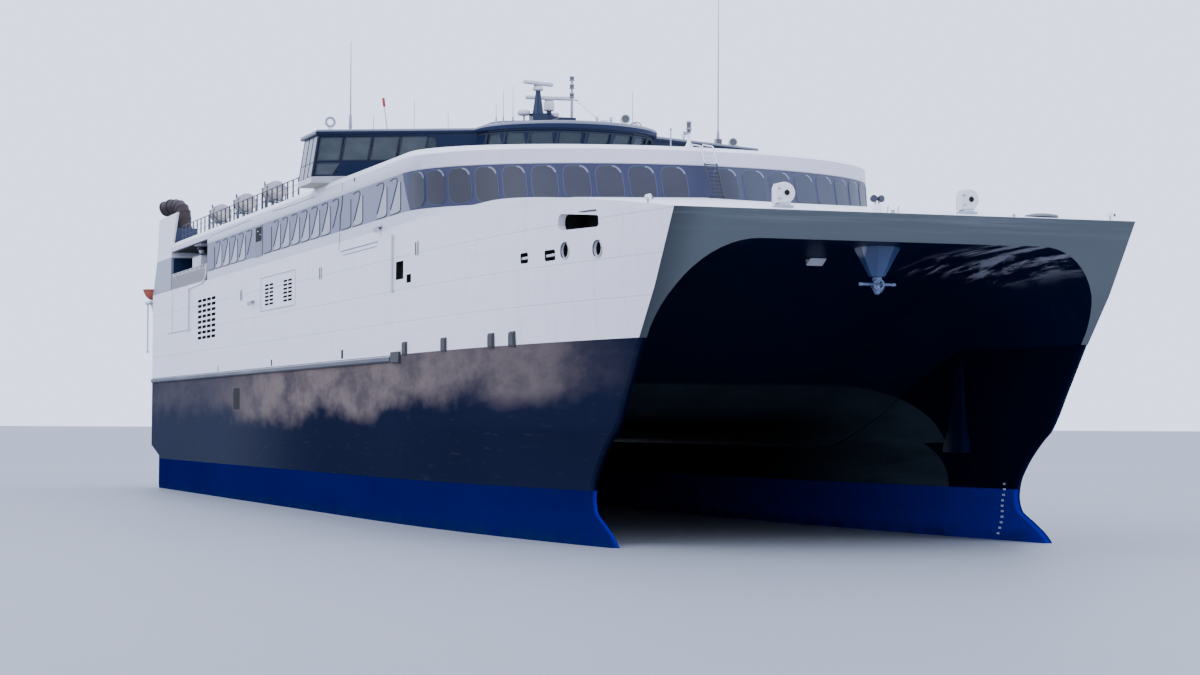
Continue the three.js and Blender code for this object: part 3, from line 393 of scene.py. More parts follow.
def inner_y(x, stem_x, full=1, entry_x=ENTRY_X):
    swell = (STEM_Y - STEM_HALF - TUNNEL_HALF) * full
    return STEM_Y - STEM_HALF - swell * (1 - along(x, entry_x, stem_x) ** 1.8)


def glide(rows, column, at):
    """A smooth value between the rows of a table, without overshoot; column 0 is the place."""
    place = max(1, min(len(rows) - 1, sum(row[0] < at for row in rows)))
    low, high = rows[place - 1], rows[place]
    run = high[0] - low[0]
    share = min(1, max(0, (at - low[0]) / run))

    def slope(i):
        if i == 0 or i == len(rows) - 1:
            return (rows[place][column] - rows[place - 1][column]) / run
        left = (rows[i][column] - rows[i - 1][column]) / (rows[i][0] - rows[i - 1][0])
        right = (rows[i + 1][column] - rows[i][column]) / (rows[i + 1][0] - rows[i][0])
        return 0 if left * right <= 0 else 2 * left * right / (left + right)

    a, b = low[column], high[column]
    cubic = 2 * share**3 - 3 * share**2 + 1
    bend = slope(place - 1) * (share**3 - 2 * share**2 + share) + slope(place) * (share**3 - share**2)
    return cubic * a + (1 - cubic) * b + run * bend


def stations(stern_x, entry_x, stem_x, count=26):
    """Places along a waterline, closer together towards the stem."""
    turns = [i / count * math.pi / 2 for i in range(count + 1)]
    return [stern_x, *[entry_x + (stem_x - entry_x) * math.sin(turn) for turn in turns]]


def closed(port):
    """A ring of points round the ship, from the points of its port half."""
    return [*port, *[(x, -y, z) for x, y, z in reversed(port)]]


def bare_metal(finish):
    """Where the tunnel is left unpainted: aft of a round-ended edge, above the antifouling."""
    above = finish.z.rise(4.08, 4.14)
    upper_end = 39.0 - ((finish.z - 4.1).size() / 2.9) ** 2.2 * 7.5
    lower_end = 38.8 - ((finish.z - 2.2).size() / 1.9) ** 3 * 1.6
    end = upper_end * above + lower_end * (1 - above)
    return (finish.x - end).rise(0.12, 0.0) * finish.z.rise(ANTIFOULING_Z, ANTIFOULING_Z + 0.03)


# Bare aluminium in the tunnel, painted near black as shade and darkest aft of the mouth, with lighter
# brushed streaks forward.
def bare_metal_in_shade(finish):
    brushed = finish.noise(2.5, (0.3, 1, 2.5), 6) * finish.x.rise(16, 37)
    return finish.mix(brushed, (0.003, 0.006, 0.010), (0.070, 0.100, 0.125))


hull_paint = Finish("hull_paint", Specular_IOR_Level=0.0)
outer_side = hull_paint.y.size().rise(9.5, 9.65)
# The worn and dusty film on the navy side, partly painted reflection streaks, in soft patches drawn
# along the plating
film_and_reflection = hull_paint.noise(9, (0.4, 1, 1.1), 7, 0.62).rise(0.32, 0.50)
film_and_reflection = film_and_reflection * (hull_paint.noise(2.4, (0.35, 1, 0.9), 8, 0.7).rise(0.34, 0.62) * 0.55 + 0.45)
film_and_reflection = film_and_reflection * hull_paint.x.rise(50, 40) * (hull_paint.x.rise(-30, -6) * 0.7 + 0.3)
film_and_reflection_foot = hull_paint.noise(4, (0.4, 1, 1), 5).rise(0.3, 0.7) * 1.5 + hull_paint.x.rise(-10, 45) * 1.3
film_and_reflection = film_and_reflection * (hull_paint.z - film_and_reflection_foot).rise(3.9, 5.3) * outer_side
scuffs = hull_paint.noise(0.5, (0.25, 1, 2.5), 3).rise(0.60, 0.74) * outer_side
navy = hull_paint.mix(hull_paint.noise(14), (0.006, 0.008, 0.021), (0.010, 0.014, 0.035))
# The inner sides of the hulls, in the tunnel, are darkened near black as painted shade.
navy = hull_paint.mix(outer_side, (0.0006, 0.0020, 0.0140), navy)
# The outer side grows lighter towards the stern as painted sheen, where the gloss is seen edge-on.
navy = hull_paint.mix(hull_paint.x.rise(6, -26) * outer_side * 0.8, navy, (0.036, 0.042, 0.064))
navy = hull_paint.mix(film_and_reflection * (hull_paint.x.rise(44, 14) * 0.3 + 0.6), navy, (0.200, 0.158, 0.142))
navy = hull_paint.mix(scuffs * 0.09, navy, (0.11, 0.11, 0.13))
navy = hull_paint.mix(bare_metal(hull_paint) * (1 - outer_side), navy, bare_metal_in_shade(hull_paint))
patches = hull_paint.noise(4, (0.4, 1, 1))
inner_blue = hull_paint.mix(patches, (0.0004, 0.0012, 0.19), (0.0010, 0.0032, 0.33))
outer_blue = hull_paint.mix(patches, (0.0004, 0.0012, 0.050), (0.0010, 0.0026, 0.085))
blue = hull_paint.mix(outer_side, inner_blue, outer_blue)
slime = hull_paint.z.rise(0.7, 0.0) * hull_paint.noise(0.7, (0.5, 1, 1)).rise(0.3, 0.7)
blue = hull_paint.mix(slime * 0.75, blue, (0.004, 0.018, 0.05))
under = hull_paint.z.rise(ANTIFOULING_Z + 0.015, ANTIFOULING_Z)
seam_height = hull_paint.noise(5, (0.4, 1, 0.7), 3) * 0.8
seam_height = seam_height + hull_paint.x.wrap(2.4).band(0.0, 0.05, 0.05) * 0.25
hull_paint.coat(
    Base_Color=hull_paint.mix(under, navy, blue),
    Roughness=under * 0.42 + 0.20 + film_and_reflection * 0.25 + slime * 0.1,
    Normal=hull_paint.relief(seam_height, 0.035),
)


def demihull(sign):
    rings = []
    for row in range(len(HULL_WATERLINES) - 1):
        for part in range(5 if row < len(HULL_WATERLINES) - 2 else 6):
            low, high = HULL_WATERLINES[row], HULL_WATERLINES[row + 1]
            z = low[0] + (high[0] - low[0]) * part / 5
            stem, full = glide(HULL_WATERLINES, 1, z), glide(HULL_WATERLINES, 3, z)
            stern = low[2] + (high[2] - low[2]) * part / 5
            entry = low[4] + (high[4] - low[4]) * part / 5
            xs = stations(stern, entry, stem - STEM_HALF)
            outer = [(x, outer_y(x, stem, full, entry)) for x in xs]
            inner = [(x, inner_y(x, stem, full, entry)) for x in reversed(xs)]
            middle, half = (outer[-1][1] + inner[0][1]) / 2, (outer[-1][1] - inner[0][1]) / 2
            turns = [math.radians(angle) for angle in (60, 30, 0, -30, -60)]
            tip = [(xs[-1] + STEM_HALF * math.cos(t), middle + half * math.sin(t)) for t in turns]
            rings.append([(x, y * sign, z) for x, y in [*outer, *tip, *inner]])
    return Shell(hull_paint).loft(rings)


for side, sign in BOTH_SIDES:
    piece(f"demihull_skin_{side}", demihull(sign), replaces=[f"demihull_{side}"])

# Draught ticks: short weld-on bars at even heights on the inner side of each stem, painted white.
# All of them are plain bars of one size.
tick_paint = Finish("tick_paint", Roughness=0.5)
tick_wear = tick_paint.noise(0.05).rise(0.35, 0.6)
tick_paint.coat(Base_Color=tick_paint.mix(tick_wear, (0.32, 0.34, 0.38), (0.62, 0.64, 0.68)))
ticks = Shell(tick_paint)
TICK_X, TICK_SWING, LOWEST_TICK_Z, TICK_RISE = 43.0, 0.0875, 0.28, 0.235
for i in range(10):
    x, z = TICK_X + TICK_SWING * math.sin(i * 0.9), LOWEST_TICK_Z + i * TICK_RISE
    y = inner_y(x, glide(HULL_WATERLINES, 1, z), 1, 13) - 0.005
    ticks.block((x, y, z), 0.09, 0.02, 0.045)
piece("draught_ticks", ticks.mirrored())

# Tunnel between the hulls: the wet deck of the bridging structure and the vault that rises to
# the bow mouth, rolled plating with round upper corners, gloss navy forward and bare metal aft.
MOUTH_STEM_X = 49.5
VAULT_STATIONS = [
    # place along the ship, crown height, corner breadth, corner height, widening below
    (-60, 5.0, 1.6, 1.2, 1.2),
    (20, 5.0, 1.6, 1.2, 1.2),
    (28, 5.2, 1.8, 1.4, 1.2),
    (33, 6.7, 2.1, 1.7, 1.2),
    (37, 8.7, 2.5, 2.0, 0.8),
    (41, 10.4, 2.9, 2.2, 0),
    (45, 11.35, 3.2, 3.15, 0),
    (49, 11.8, 3.5, 3.6, 0),
    (54, 11.97, 3.5, 3.75, 0),
]
CORNER_STEPS = 14
vault_paint = Finish("vault_paint", Specular_IOR_Level=0.12)
vault_waves = vault_paint.noise(3.5, (0.5, 0.7, 1), 4)
# Pale streaks high on the port side of the vault behind the mouth are painted reflections.
vault_reflection_streaks = vault_paint.noise(0.7, (0.14, 1, 0.8), 5, 0.7).rise(0.49, 0.60) * vault_paint.x.rise(43.5, 46)
vault_reflection_streaks = vault_reflection_streaks * vault_paint.y.band(4.6, 7.2, 1.6) * vault_paint.z.rise(10.5, 11.2)
vault_navy = vault_paint.mix(vault_paint.noise(9), (0.0012, 0.0038, 0.0200), (0.0024, 0.0074, 0.0360))
vault_navy = vault_paint.mix(vault_reflection_streaks * 0.8, vault_navy, (0.46, 0.47, 0.53))
vault_navy = vault_paint.mix(bare_metal(vault_paint), vault_navy, bare_metal_in_shade(vault_paint))
vault_paint.coat(
    Base_Color=vault_navy,
    Roughness=vault_waves * 0.2 + 0.22,
    Normal=vault_paint.relief(vault_waves + vault_paint.x.wrap(1.2).band(0, 0.04, 0.04) * 0.3, 0.03),
)


def passage(from_x, to_x, count):
    """The space between the hulls as a solid, for cutting."""
    rings = []
    for i in range(count + 1):
        x = from_x + (to_x - from_x) * i / count
        top, corner_y, corner_z, widen = (glide(VAULT_STATIONS, column, x) for column in (1, 2, 3, 4))
        half = inner_y(x, MOUTH_STEM_X) + HAIR
        turns = [step / CORNER_STEPS * math.pi / 2 for step in range(CORNER_STEPS + 1)]
        arch = [(x, half - corner_y * (1 - math.cos(t)), top - corner_z * (1 - math.sin(t))) for t in turns]
        foot = arch[0][2] - HAIR
        port = [(x, half + widen + 0.01, -6), (x, half + widen + 0.01, foot), *arch]
        rings.append(closed(port))
    return rings


bridging_xs = [STERN_X, *[20 + 1.5 * i for i in range(15)]]
bridging_rings = [closed([(x, inner_y(x, MOUTH_STEM_X) + 0.4, z) for x in bridging_xs])
                  for z in (3.7, HULL_TOP_Z - HAIR)]
vault_cutter = Shell(vault_paint).loft([*passage(-60, 18, 1), *passage(20, 55, 50)])
wet_deck = carve(Shell(vault_paint).loft(bridging_rings), ("DIFFERENCE", vault_cutter))
bridging_nodes = ["bridging_structure", "bridging_haunch_port", "bridging_haunch_starboard"]
piece("wet_deck_plating", wet_deck, replaces=bridging_nodes)

# Bow module: the raked face round the mouth, its white paint coloured grey-blue as painted shade and
# painted reflection of the water, the flared white sides with their mooring openings, and the
# foredeck. It is one welded aluminium block over both stems.
BOW_X, BOW_Z, SIDE_TOP_Z = 53.25, 12.97, 14.5
HOLD_FRONT_X, BOW_SIDE_STEM_X = 34, 52.5
UPPER_LEVELS = [(8.2, 49.5), (9.1, 50.305), (10.1, 51.2), (11.5, 52.2), (12.97, 53.25), (15.6, 53.55)]
SEAMS_Z = (9.75, 11.3, 12.9)


def weathering(finish, low, high, seam_share=0.22, rough=0.28, depth=0.03):
    """White topside paint: faint dished plating, weld seams, and thin runs of dirt."""
    dishing = finish.noise(1.7, (0.75, 1, 1), 3, 0.4)
    soft = finish.noise(11, (0.5, 1, 1.4), 5)
    runs = finish.noise(0.55, (1, 1, 0.09), 6, 0.6).rise(0.50, 0.78)
    brushed = finish.noise(0.9, (0.12, 1, 3.2), 4).rise(0.52, 0.75)
    seams = finish.x.wrap(6.1).band(0.0, 0.03, 0.03)
    for level in SEAMS_Z:
        seams = seams + (finish.z - level).size().rise(0.045, 0.015)
    colour = finish.mix(soft, low, high)
    colour = finish.mix(runs * 0.13, colour, (0.30, 0.27, 0.25))
    colour = finish.mix(brushed * 0.14, colour, (0.42, 0.44, 0.50))
    colour = finish.mix(seams * seam_share, colour, (0.30, 0.31, 0.34))
    finish.coat(Roughness=soft * 0.2 + rough, Normal=finish.relief(dishing - seams * 0.25, depth))
    return colour, soft


WHITES = ((0.73, 0.705, 0.755), (0.81, 0.785, 0.835))
topside_paint = Finish("topside_paint", Specular_IOR_Level=0.4)
topside_paint.coat(Base_Color=weathering(topside_paint, *WHITES)[0])

# The bow face is white paint coloured grey-blue as painted shade and painted reflection of the water, darker
# still towards the starboard edge.
face_painted_shade = Finish("face_painted_shade", Specular_IOR_Level=0.4)
face_soft = face_painted_shade.noise(6, (1, 0.4, 1.5), 5)
face_brush = face_painted_shade.noise(0.7, (1, 0.10, 3.5), 5).rise(0.45, 0.75)
face_top = face_painted_shade.z.rise(12.0, 12.9)
face_colour = face_painted_shade.mix(face_soft, (0.080, 0.099, 0.108), (0.108, 0.131, 0.140))
face_colour = face_painted_shade.mix(face_painted_shade.y.rise(-8.0, -10.0), face_colour, (0.038, 0.049, 0.057))
face_colour = face_painted_shade.mix(face_brush * face_top * 0.5, face_colour, (0.22, 0.24, 0.27))
face_painted_shade.coat(
    Base_Color=face_colour,
    Roughness=face_soft * 0.25 + 0.30,
    Normal=face_painted_shade.relief(face_painted_shade.noise(2.2, (1, 0.7, 1), 3), 0.02),
)

rim_paint = two_tone("rim_paint", (0.80, 0.785, 0.83), (0.89, 0.875, 0.91), (3, (0.4, 1, 1), 5),
                     waves=(1.4,), depth=0.012, Roughness=0.35)
# A near-black finish: painted shade inside the openings, louvres, vents and holes, and the real dark paint
# of a hull plate and the door glass.
dark_paint_and_shade = two_tone("dark_paint_and_shade", (0.005, 0.005, 0.005), (0.018, 0.018, 0.015), (0.4,),
                     Roughness=0.7, Specular_IOR_Level=0.1)


def upper_hull(stern_x, cut, face=None):
    """The hull above the demihulls, between its levels; cut moves its sides inwards."""
    levels = [[(x, outer_y(x, stem) - cut, z) for x in stations(stern_x, ENTRY_X, stem)]
              for z, stem in UPPER_LEVELS]
    rings = [closed(level) for level in levels]
    shell = Shell(topside_paint).loft(rings)
    if face:
        front = len(rings[0]) // 2 - 1
        for ring in range(len(rings) - 1):
            shell.finishes[ring * len(rings[0]) + front] = face
    return shell


def sheer_z(x):
    fall = max(0, x - 36) / (BOW_X - 36)
    return SIDE_TOP_Z - (SIDE_TOP_Z - BOW_Z) * fall**1.4


def deck_z(x, share):
    """Height of the deck ahead of the house; share runs from 0 amidships to 1 at the side."""
    edge, centre = sheer_z(x), BOW_Z + (BOW_X - x) * 0.11
    shoulder = edge + (centre - edge) * 0.8
    if share < 0.5:
        return centre + (shoulder - centre) * share * 2
    return shoulder + (edge - shoulder) * (share - 0.5) * 2


deck_rings = []
for x in [ENTRY_X - 1, *range(24, 53), BOW_X, BOW_X + 1]:
    on_deck, half = min(x, BOW_X), outer_y(x, BOW_X)
    port = [(x, BEYOND, 0), (x, BEYOND, sheer_z(on_deck)), (x, half, deck_z(on_deck, 1))]
    ring = closed([*port, (x, half / 2, deck_z(on_deck, 0.5))])
    ring.insert(len(ring) // 2, (x, 0, deck_z(on_deck, 0)))
    deck_rings.append(ring)
under_deck = Shell(rim_paint).loft(deck_rings)


def rounded(u0, u1, v0, v1, corner_u, corner_v, steps=5):
    """A rectangle with round corners, as (u, v) points."""
    outline = []
    corners = ((u1, v1, -1, -1), (u0, v1, 1, -1), (u0, v0, 1, 1), (u1, v0, -1, 1))
    for quarter, (u, v, su, sv) in enumerate(corners):
        for step in range(steps + 1):
            turn = (quarter + step / steps) * math.pi / 2
            outline.append((u + su * corner_u + corner_u * math.cos(turn),
                            v + sv * corner_v + corner_v * math.sin(turn)))
    return outline


def spread(outline, share):
    """An outline drawn in or out about its middle."""
    middle_u = sum(u for u, _ in outline) / len(outline)
    middle_v = sum(v for _, v in outline) / len(outline)
    return [(middle_u + (u - middle_u) * share, middle_v + (v - middle_v) * share) for u, v in outline]


def bow_side(x):
    return outer_y(x, BOW_SIDE_STEM_X)


def on_bow(outline, out):
    """An outline of (x, z) points laid on the bow's side, at a distance outwards from it."""
    return [(x, bow_side(x) + out, z) for x, z in outline]


BOW_OPENINGS = [
    # centre along, height, half width
    (39.7, 11.78, 0.42),
    (42.43, 11.74, 0.54),
]
OPENING_HALF_Z, OPENING_CORNER, OPENING_DEPTH = 0.22, 0.10, 0.30
# The openings' cut walls take the near-black finish as painted shade.
bow_cutter = Shell(dark_paint_and_shade)
for x, z, half in BOW_OPENINGS:
    reach = (x - half, x + half, z - OPENING_HALF_Z, z + OPENING_HALF_Z)
    outline = rounded(*reach, OPENING_CORNER, OPENING_CORNER, 4)
    bow_cutter.slab(outline, bow_side(x) - OPENING_DEPTH, BEYOND)
bow_cutter.mirrored()
MOORING_PORT = [(43.7, 12.67), (47.0, 12.60), (47.17, 12.68), (47.17, 13.0), (47.05, 13.06),
                (43.7, 13.34), (43.45, 13.26), (43.36, 13.1), (43.36, 12.9), (43.45, 12.75)]
FAIRLEADS = [rounded(x - 0.38, x + 0.38, z - 0.32, z + 0.32, 0.34, 0.30)
             for x, z in ((43.95, 11.85), (46.95, 11.75))]
# White throats line the mooring port and fairleads; near-black blocks behind them are painted shade.
throats, shade_blocks_behind = Shell(topside_paint), Shell(dark_paint_and_shade)
for outline, jamb in zip((MOORING_PORT, *FAIRLEADS), (0.26, 0.10, 0.13)):
    throats.loft([on_bow(outline, out) for out in (-jamb, 0.8)])
    wider = spread(outline, 1.05)
    shade_blocks_behind.loft([on_bow(wider, out) for out in (-1.2, HAIR - jamb)])
ahead = Shell(topside_paint).box(HOLD_FRONT_X, BOW_X + 2, -BEYOND, BEYOND, HULL_TOP_Z, 16)
bow = carve(
    upper_hull(STERN_X, 0, face_painted_shade),
    ("INTERSECT", ahead),
    ("INTERSECT", under_deck),
    ("DIFFERENCE", vault_cutter),
    ("DIFFERENCE", bow_cutter),
    ("DIFFERENCE", throats.mirrored()),
    ("DIFFERENCE", shade_blocks_behind.mirrored()),
)
piece("bow_shell", bow, replaces=["bow_module"])

# Vehicle deck sides: welded plate walls with louvred vents for the garage, each louvre a short
# pressed slat in a row.
LOUVRES = [
    # aft edge, width, low, high, columns, rows
    (-34.1, 6.9, 10.55, 13.45, 4, 8),
    (-11.2, 2.7, 11.93, 13.3, 2, 6),
    (-5.85, 2.6, 11.93, 13.3, 2, 6),
]
# The louvre slots and side openings are cut with the near-black finish, so their walls are painted shade.
side_cutter = Shell(dark_paint_and_shade)
for aft_x, width, low, high, columns, rows in LOUVRES:
    pitch_x, pitch_z = width / columns, (high - low) / rows
    for column in range(columns):
        for row in range(rows):
            x, z = aft_x + column * pitch_x, low + row * pitch_z
            side_cutter.box(x, x + pitch_x * 0.8, HALF_BEAM - 0.2, BEYOND, z, z + pitch_z * 0.55)
side_openings = [
    # centre along, height, half width, half height, depth
    (21.25, 12.28, 0.72, 0.44, 0.25),
    (23.0, 11.80, 0.42, 0.20, 0.25),
    (-26.4, 8.40, 0.13, 0.18, 0.3),
    (-9.1, 8.44, 0.17, 0.19, 0.3),
    (9.25, 8.50, 0.22, 0.23, 0.3),
]
for x, z, half_x, half_z, depth in side_openings:
    side_cutter.box(x - half_x, x + half_x, HALF_BEAM - depth, BEYOND, z - half_z, z + half_z)
for side, sign in BOTH_SIDES:
    inside = upper_hull(STERN_X - 1, 0.45)
    half_ship = (STERN_X, HOLD_FRONT_X - HAIR, *span(sign, 0, BEYOND), HULL_TOP_Z, SIDE_TOP_Z - HAIR)
    cutter = Shell(dark_paint_and_shade)
    cutter.add([(x, y * sign, z) for x, y, z in side_cutter.points], side_cutter.faces)
    wall = carve(
        upper_hull(STERN_X, 0),
        ("INTERSECT", Shell(topside_paint).box(*half_ship)),
        ("DIFFERENCE", inside),
        ("DIFFERENCE", cutter),
    )
    piece(f"side_wall_{side}", wall, replaces=[f"vehicle_deck_side_{side}"])

# Front apron: the plating that slopes from the foot of the front windows to the foredeck.
# It is one welded panel, white with a bright upper edge.
HOUSE_FRONT_X, FRONT_REACH, FRONT_LEAN = 21.86, 9.75, 1.1
HOUSE_AFT_X, BAND_TOP_Z = -30.7, 16.95


def house_plan(aft_x, half, reach, z):
    front = [(HOUSE_FRONT_X + reach * math.sin(t), -half * math.cos(t), z) for t in fan(72)]
    return [(aft_x, -half, z), *front, (aft_x, half, z)]


def house_form(swell, finish):
    low = house_plan(HOUSE_AFT_X, HALF_BEAM + swell, FRONT_REACH + swell, SIDE_TOP_Z)
    high = house_plan(HOUSE_AFT_X, HALF_BEAM + swell, FRONT_REACH - FRONT_LEAN + swell, BAND_TOP_Z - HAIR)
    return Shell(finish).loft([low, high])


apron_room = Shell(topside_paint).box(ENTRY_X, HOLD_FRONT_X - HAIR, -BEYOND, BEYOND, SIDE_TOP_Z, 16)
apron = carve(
    upper_hull(STERN_X, 0),
    ("INTERSECT", apron_room),
    ("INTERSECT", under_deck),
    ("DIFFERENCE", house_form(HAIR, rim_paint)),
)
piece("apron_plating", apron, replaces=["front_apron"])

# Passenger house: a rounded aluminium house whose window band is painted light grey-blue along
# the sides, and dark blue between the tinted panes that are bonded round the front.
band_paint = Finish("band_paint", Specular_IOR_Level=0.25)
band_soft = band_paint.noise(4, (0.5, 1, 1), 5)
round_front = (band_paint.x + band_paint.z * 0.65).rise(32.63, 32.69)
side_band = band_paint.mix(band_soft, (0.165, 0.172, 0.23), (0.225, 0.235, 0.30))
front_band = band_paint.mix(band_soft, (0.025, 0.028, 0.060), (0.040, 0.045, 0.090))
# The front band is painted lighter towards the port side as painted sheen, where it is seen edge-on.
front_band = band_paint.mix(band_paint.y.rise(0.3, 2.0) * 0.8, front_band, (0.062, 0.071, 0.102))
band_colours = band_paint.mix(round_front, side_band, front_band)
# A thin dark line along the band's foot is painted shade.
band_foot_shade_line = band_paint.z.band(15.05, 15.08, 0.01) * (1 - round_front)
band_colours = band_paint.mix(band_foot_shade_line * 0.6, band_colours, (0.10, 0.11, 0.15))
band_paint.coat(
    Base_Color=band_paint.mix(band_paint.z.rise(15.06, 15.04), band_colours, (0.60, 0.595, 0.67)),
    Roughness=band_soft * 0.2 + 0.42,
    Normal=band_paint.relief(band_paint.noise(1.2, (1, 1, 0.6)), 0.015),
)
piece("window_band", house_form(0, band_paint), replaces=["passenger_house"])


def on_front(turn, z, out=0.0):
    """A point on the house's rounded front: turn 0 at the starboard side, pi at the port side."""
    reach = FRONT_REACH - FRONT_LEAN * (z - SIDE_TOP_Z) / (BAND_TOP_Z - SIDE_TOP_Z) + out
    return (HOUSE_FRONT_X + reach * math.sin(turn), -(HALF_BEAM + out) * math.cos(turn), z)


def bonded_pane(shell, outline, low, high, finish):
    """A pane on the rounded front, between two distances from it, with a slight crown."""
    rings = [[on_front(u, v, low) for u, v in outline], [on_front(u, v, high) for u, v in outline]]
    rings += [[on_front(u, v, high) for u, v in spread(outline, share)] for share in (0.75, 0.5, 0.25)]
    return shell.loft(rings, finish)


pane_glass = Finish("pane_glass", Specular_IOR_Level=0.3)
pane_film = pane_glass.noise(1.6, (1, 0.6, 1.4), 4, 0.5)
pane_tint_and_reflection = pane_glass.mix(pane_film, (0.022, 0.023, 0.034), (0.042, 0.043, 0.060))
# The tint carries painted reflection: lighter towards the port side, and darker at the starboard end.
pane_tint_and_reflection = pane_glass.mix(pane_glass.y.rise(0.5, 3.0), pane_tint_and_reflection, (0.044, 0.052, 0.076))
pane_tint_and_reflection = pane_glass.mix(pane_glass.y.rise(-8.0, -10.0) * 0.5, pane_tint_and_reflection, (0.012, 0.012, 0.018))
pane_glass.coat(
    Base_Color=pane_tint_and_reflection,
    Roughness=pane_film * 0.15 + 0.34,
    Normal=pane_glass.relief(pane_glass.noise(2.4, (1, 1, 0.6), 2), 0.05),
)
seal_paint = two_tone("seal_paint", (0.040, 0.050, 0.112), (0.066, 0.080, 0.160), (0.8,), Roughness=0.4)
glint_paint = two_tone("glint_paint", (0.15, 0.165, 0.22), (0.22, 0.235, 0.30), (0.5,), Roughness=0.4)
PANE_EDGES = [0.045, 0.172, 0.302, 0.434, 0.567, 0.703, 0.836, 0.975, 1.132, 1.289, 1.46]
PANE_GAP, PANE_LOW_Z, PANE_HIGH_Z, PANE_CORNER_Z, SEAL_Z = 0.013, 15.19, 16.84, 0.43, 0.03
panes = Shell(pane_glass)
for side in (1, -1):
    for near, far in zip(PANE_EDGES, PANE_EDGES[1:]):
        ends = sorted((math.pi / 2 + side * (near + PANE_GAP), math.pi / 2 + side * (far - PANE_GAP)))
        width = (ends[1] - ends[0]) * 0.32
        seal = rounded(ends[0] - 0.003, ends[1] + 0.003, PANE_LOW_Z - SEAL_Z, PANE_HIGH_Z + SEAL_Z,
                       width * 1.05, PANE_CORNER_Z + SEAL_Z)
        pane = rounded(*ends, PANE_LOW_Z, PANE_HIGH_Z, width, PANE_CORNER_Z)
        bonded_pane(panes, seal, -0.02, 0.018, seal_paint)
        bonded_pane(panes, pane, 0.0, 0.035, pane_glass)
        glint = pane[1:6]
        glint += [(u + (sum(ends) / 2 - u) * 0.10, v - 0.05) for u, v in reversed(glint)]
        panes.loft([[on_front(u, v, out) for u, v in glint] for out in (0.03, 0.042)], glint_paint)
piece("front_panes", panes)

# Side windows: pale tinted panes with a slanted after edge, bonded on the painted side band, and
# the dark bonding lines round them. The lines are thin rubber beads that follow the wall.
# The dark rubber also paints the shadow on the fairleads' lips.
dark_rubber_and_shadow = two_tone("dark_rubber_and_shadow", (0.02, 0.022, 0.035), (0.05, 0.055, 0.08), (0.3,), Roughness=0.6)
side_glass = two_tone("side_glass", (0.125, 0.128, 0.162), (0.175, 0.178, 0.215), (2.5, (0.5, 1, 1), 5),
                      Roughness=0.22)


def group_tree(name, links, **inputs):
    """A node tree and its nodes by kind, from links that name the kind and socket at both ends."""
    tree = bpy.data.node_groups.new(name, "GeometryNodeTree")
    for title, kind in inputs.items():
        tree.interface.new_socket(name=title, in_out="INPUT", socket_type=f"NodeSocket{kind}")
    tree.interface.new_socket(name="Result", in_out="OUTPUT", socket_type="NodeSocketGeometry")
    nodes = {"entry": tree.nodes.new("NodeGroupInput"), "leave": tree.nodes.new("NodeGroupOutput")}
    for source, output, target, socket in links:
        for kind in (source, target):
            nodes[kind] = nodes.get(kind) or tree.nodes.new(f"GeometryNode{kind}")
        tree.links.new(nodes[source].outputs[output], nodes[target].inputs[socket])
    return tree, nodes


# How both trees end: their copies are made real, and take the finish
PAINTED = [
    ("RealizeInstances", "Geometry", "SetMaterial", "Geometry"),
    ("entry", "Finish", "SetMaterial", "Material"),
    ("SetMaterial", "Geometry", "leave", "Result"),
]
# Node tree: a round bead along every path of a mesh, with a radius and a finish
bead_links = [
    ("entry", "Paths", "MeshToCurve", "Mesh"),
    ("entry", "Radius", "CurvePrimitiveCircle", "Radius"),
    ("MeshToCurve", "Curve", "CurveToMesh", "Curve"),
    ("CurvePrimitiveCircle", "Curve", "CurveToMesh", "Profile Curve"),
    ("CurveToMesh", "Mesh", "RealizeInstances", "Geometry"),
    *PAINTED,
]
bead_inputs = {"Paths": "Geometry", "Radius": "Float", "Finish": "Material"}
bead_tree, bead_nodes = group_tree("bead_along_paths", bead_links, **bead_inputs)
bead_nodes["CurvePrimitiveCircle"].inputs["Resolution"].default_value = 6
bead_nodes["CurveToMesh"].inputs["Fill Caps"].default_value = True


def grown(mesh, tree, **settings):
    """The plain mesh that a node tree makes from a mesh, with the tree's inputs by name."""
    seed = bpy.data.objects.new("seed", mesh)
    bpy.context.scene.collection.objects.link(seed)
    modifier = seed.modifiers.new("grow", "NODES")
    modifier.node_group = tree
    for item in tree.interface.items_tree:
        if item.in_out == "INPUT" and item.name in settings:
            modifier[item.identifier] = settings[item.name]
    depsgraph = bpy.context.evaluated_depsgraph_get()
    result = bpy.data.meshes.new_from_object(seed.evaluated_get(depsgraph))
    bpy.data.objects.remove(seed)
    return result


def paths_mesh(paths):
    points, edges = [], []
    for path in paths:
        start = len(points)
        points += [Vector(point) * SHIP for point in path]
        edges += [(start + i, start + i + 1) for i in range(len(path) - 1)]
    mesh = bpy.data.meshes.new("paths")
    mesh.from_pydata(points, edges, [])
    return mesh


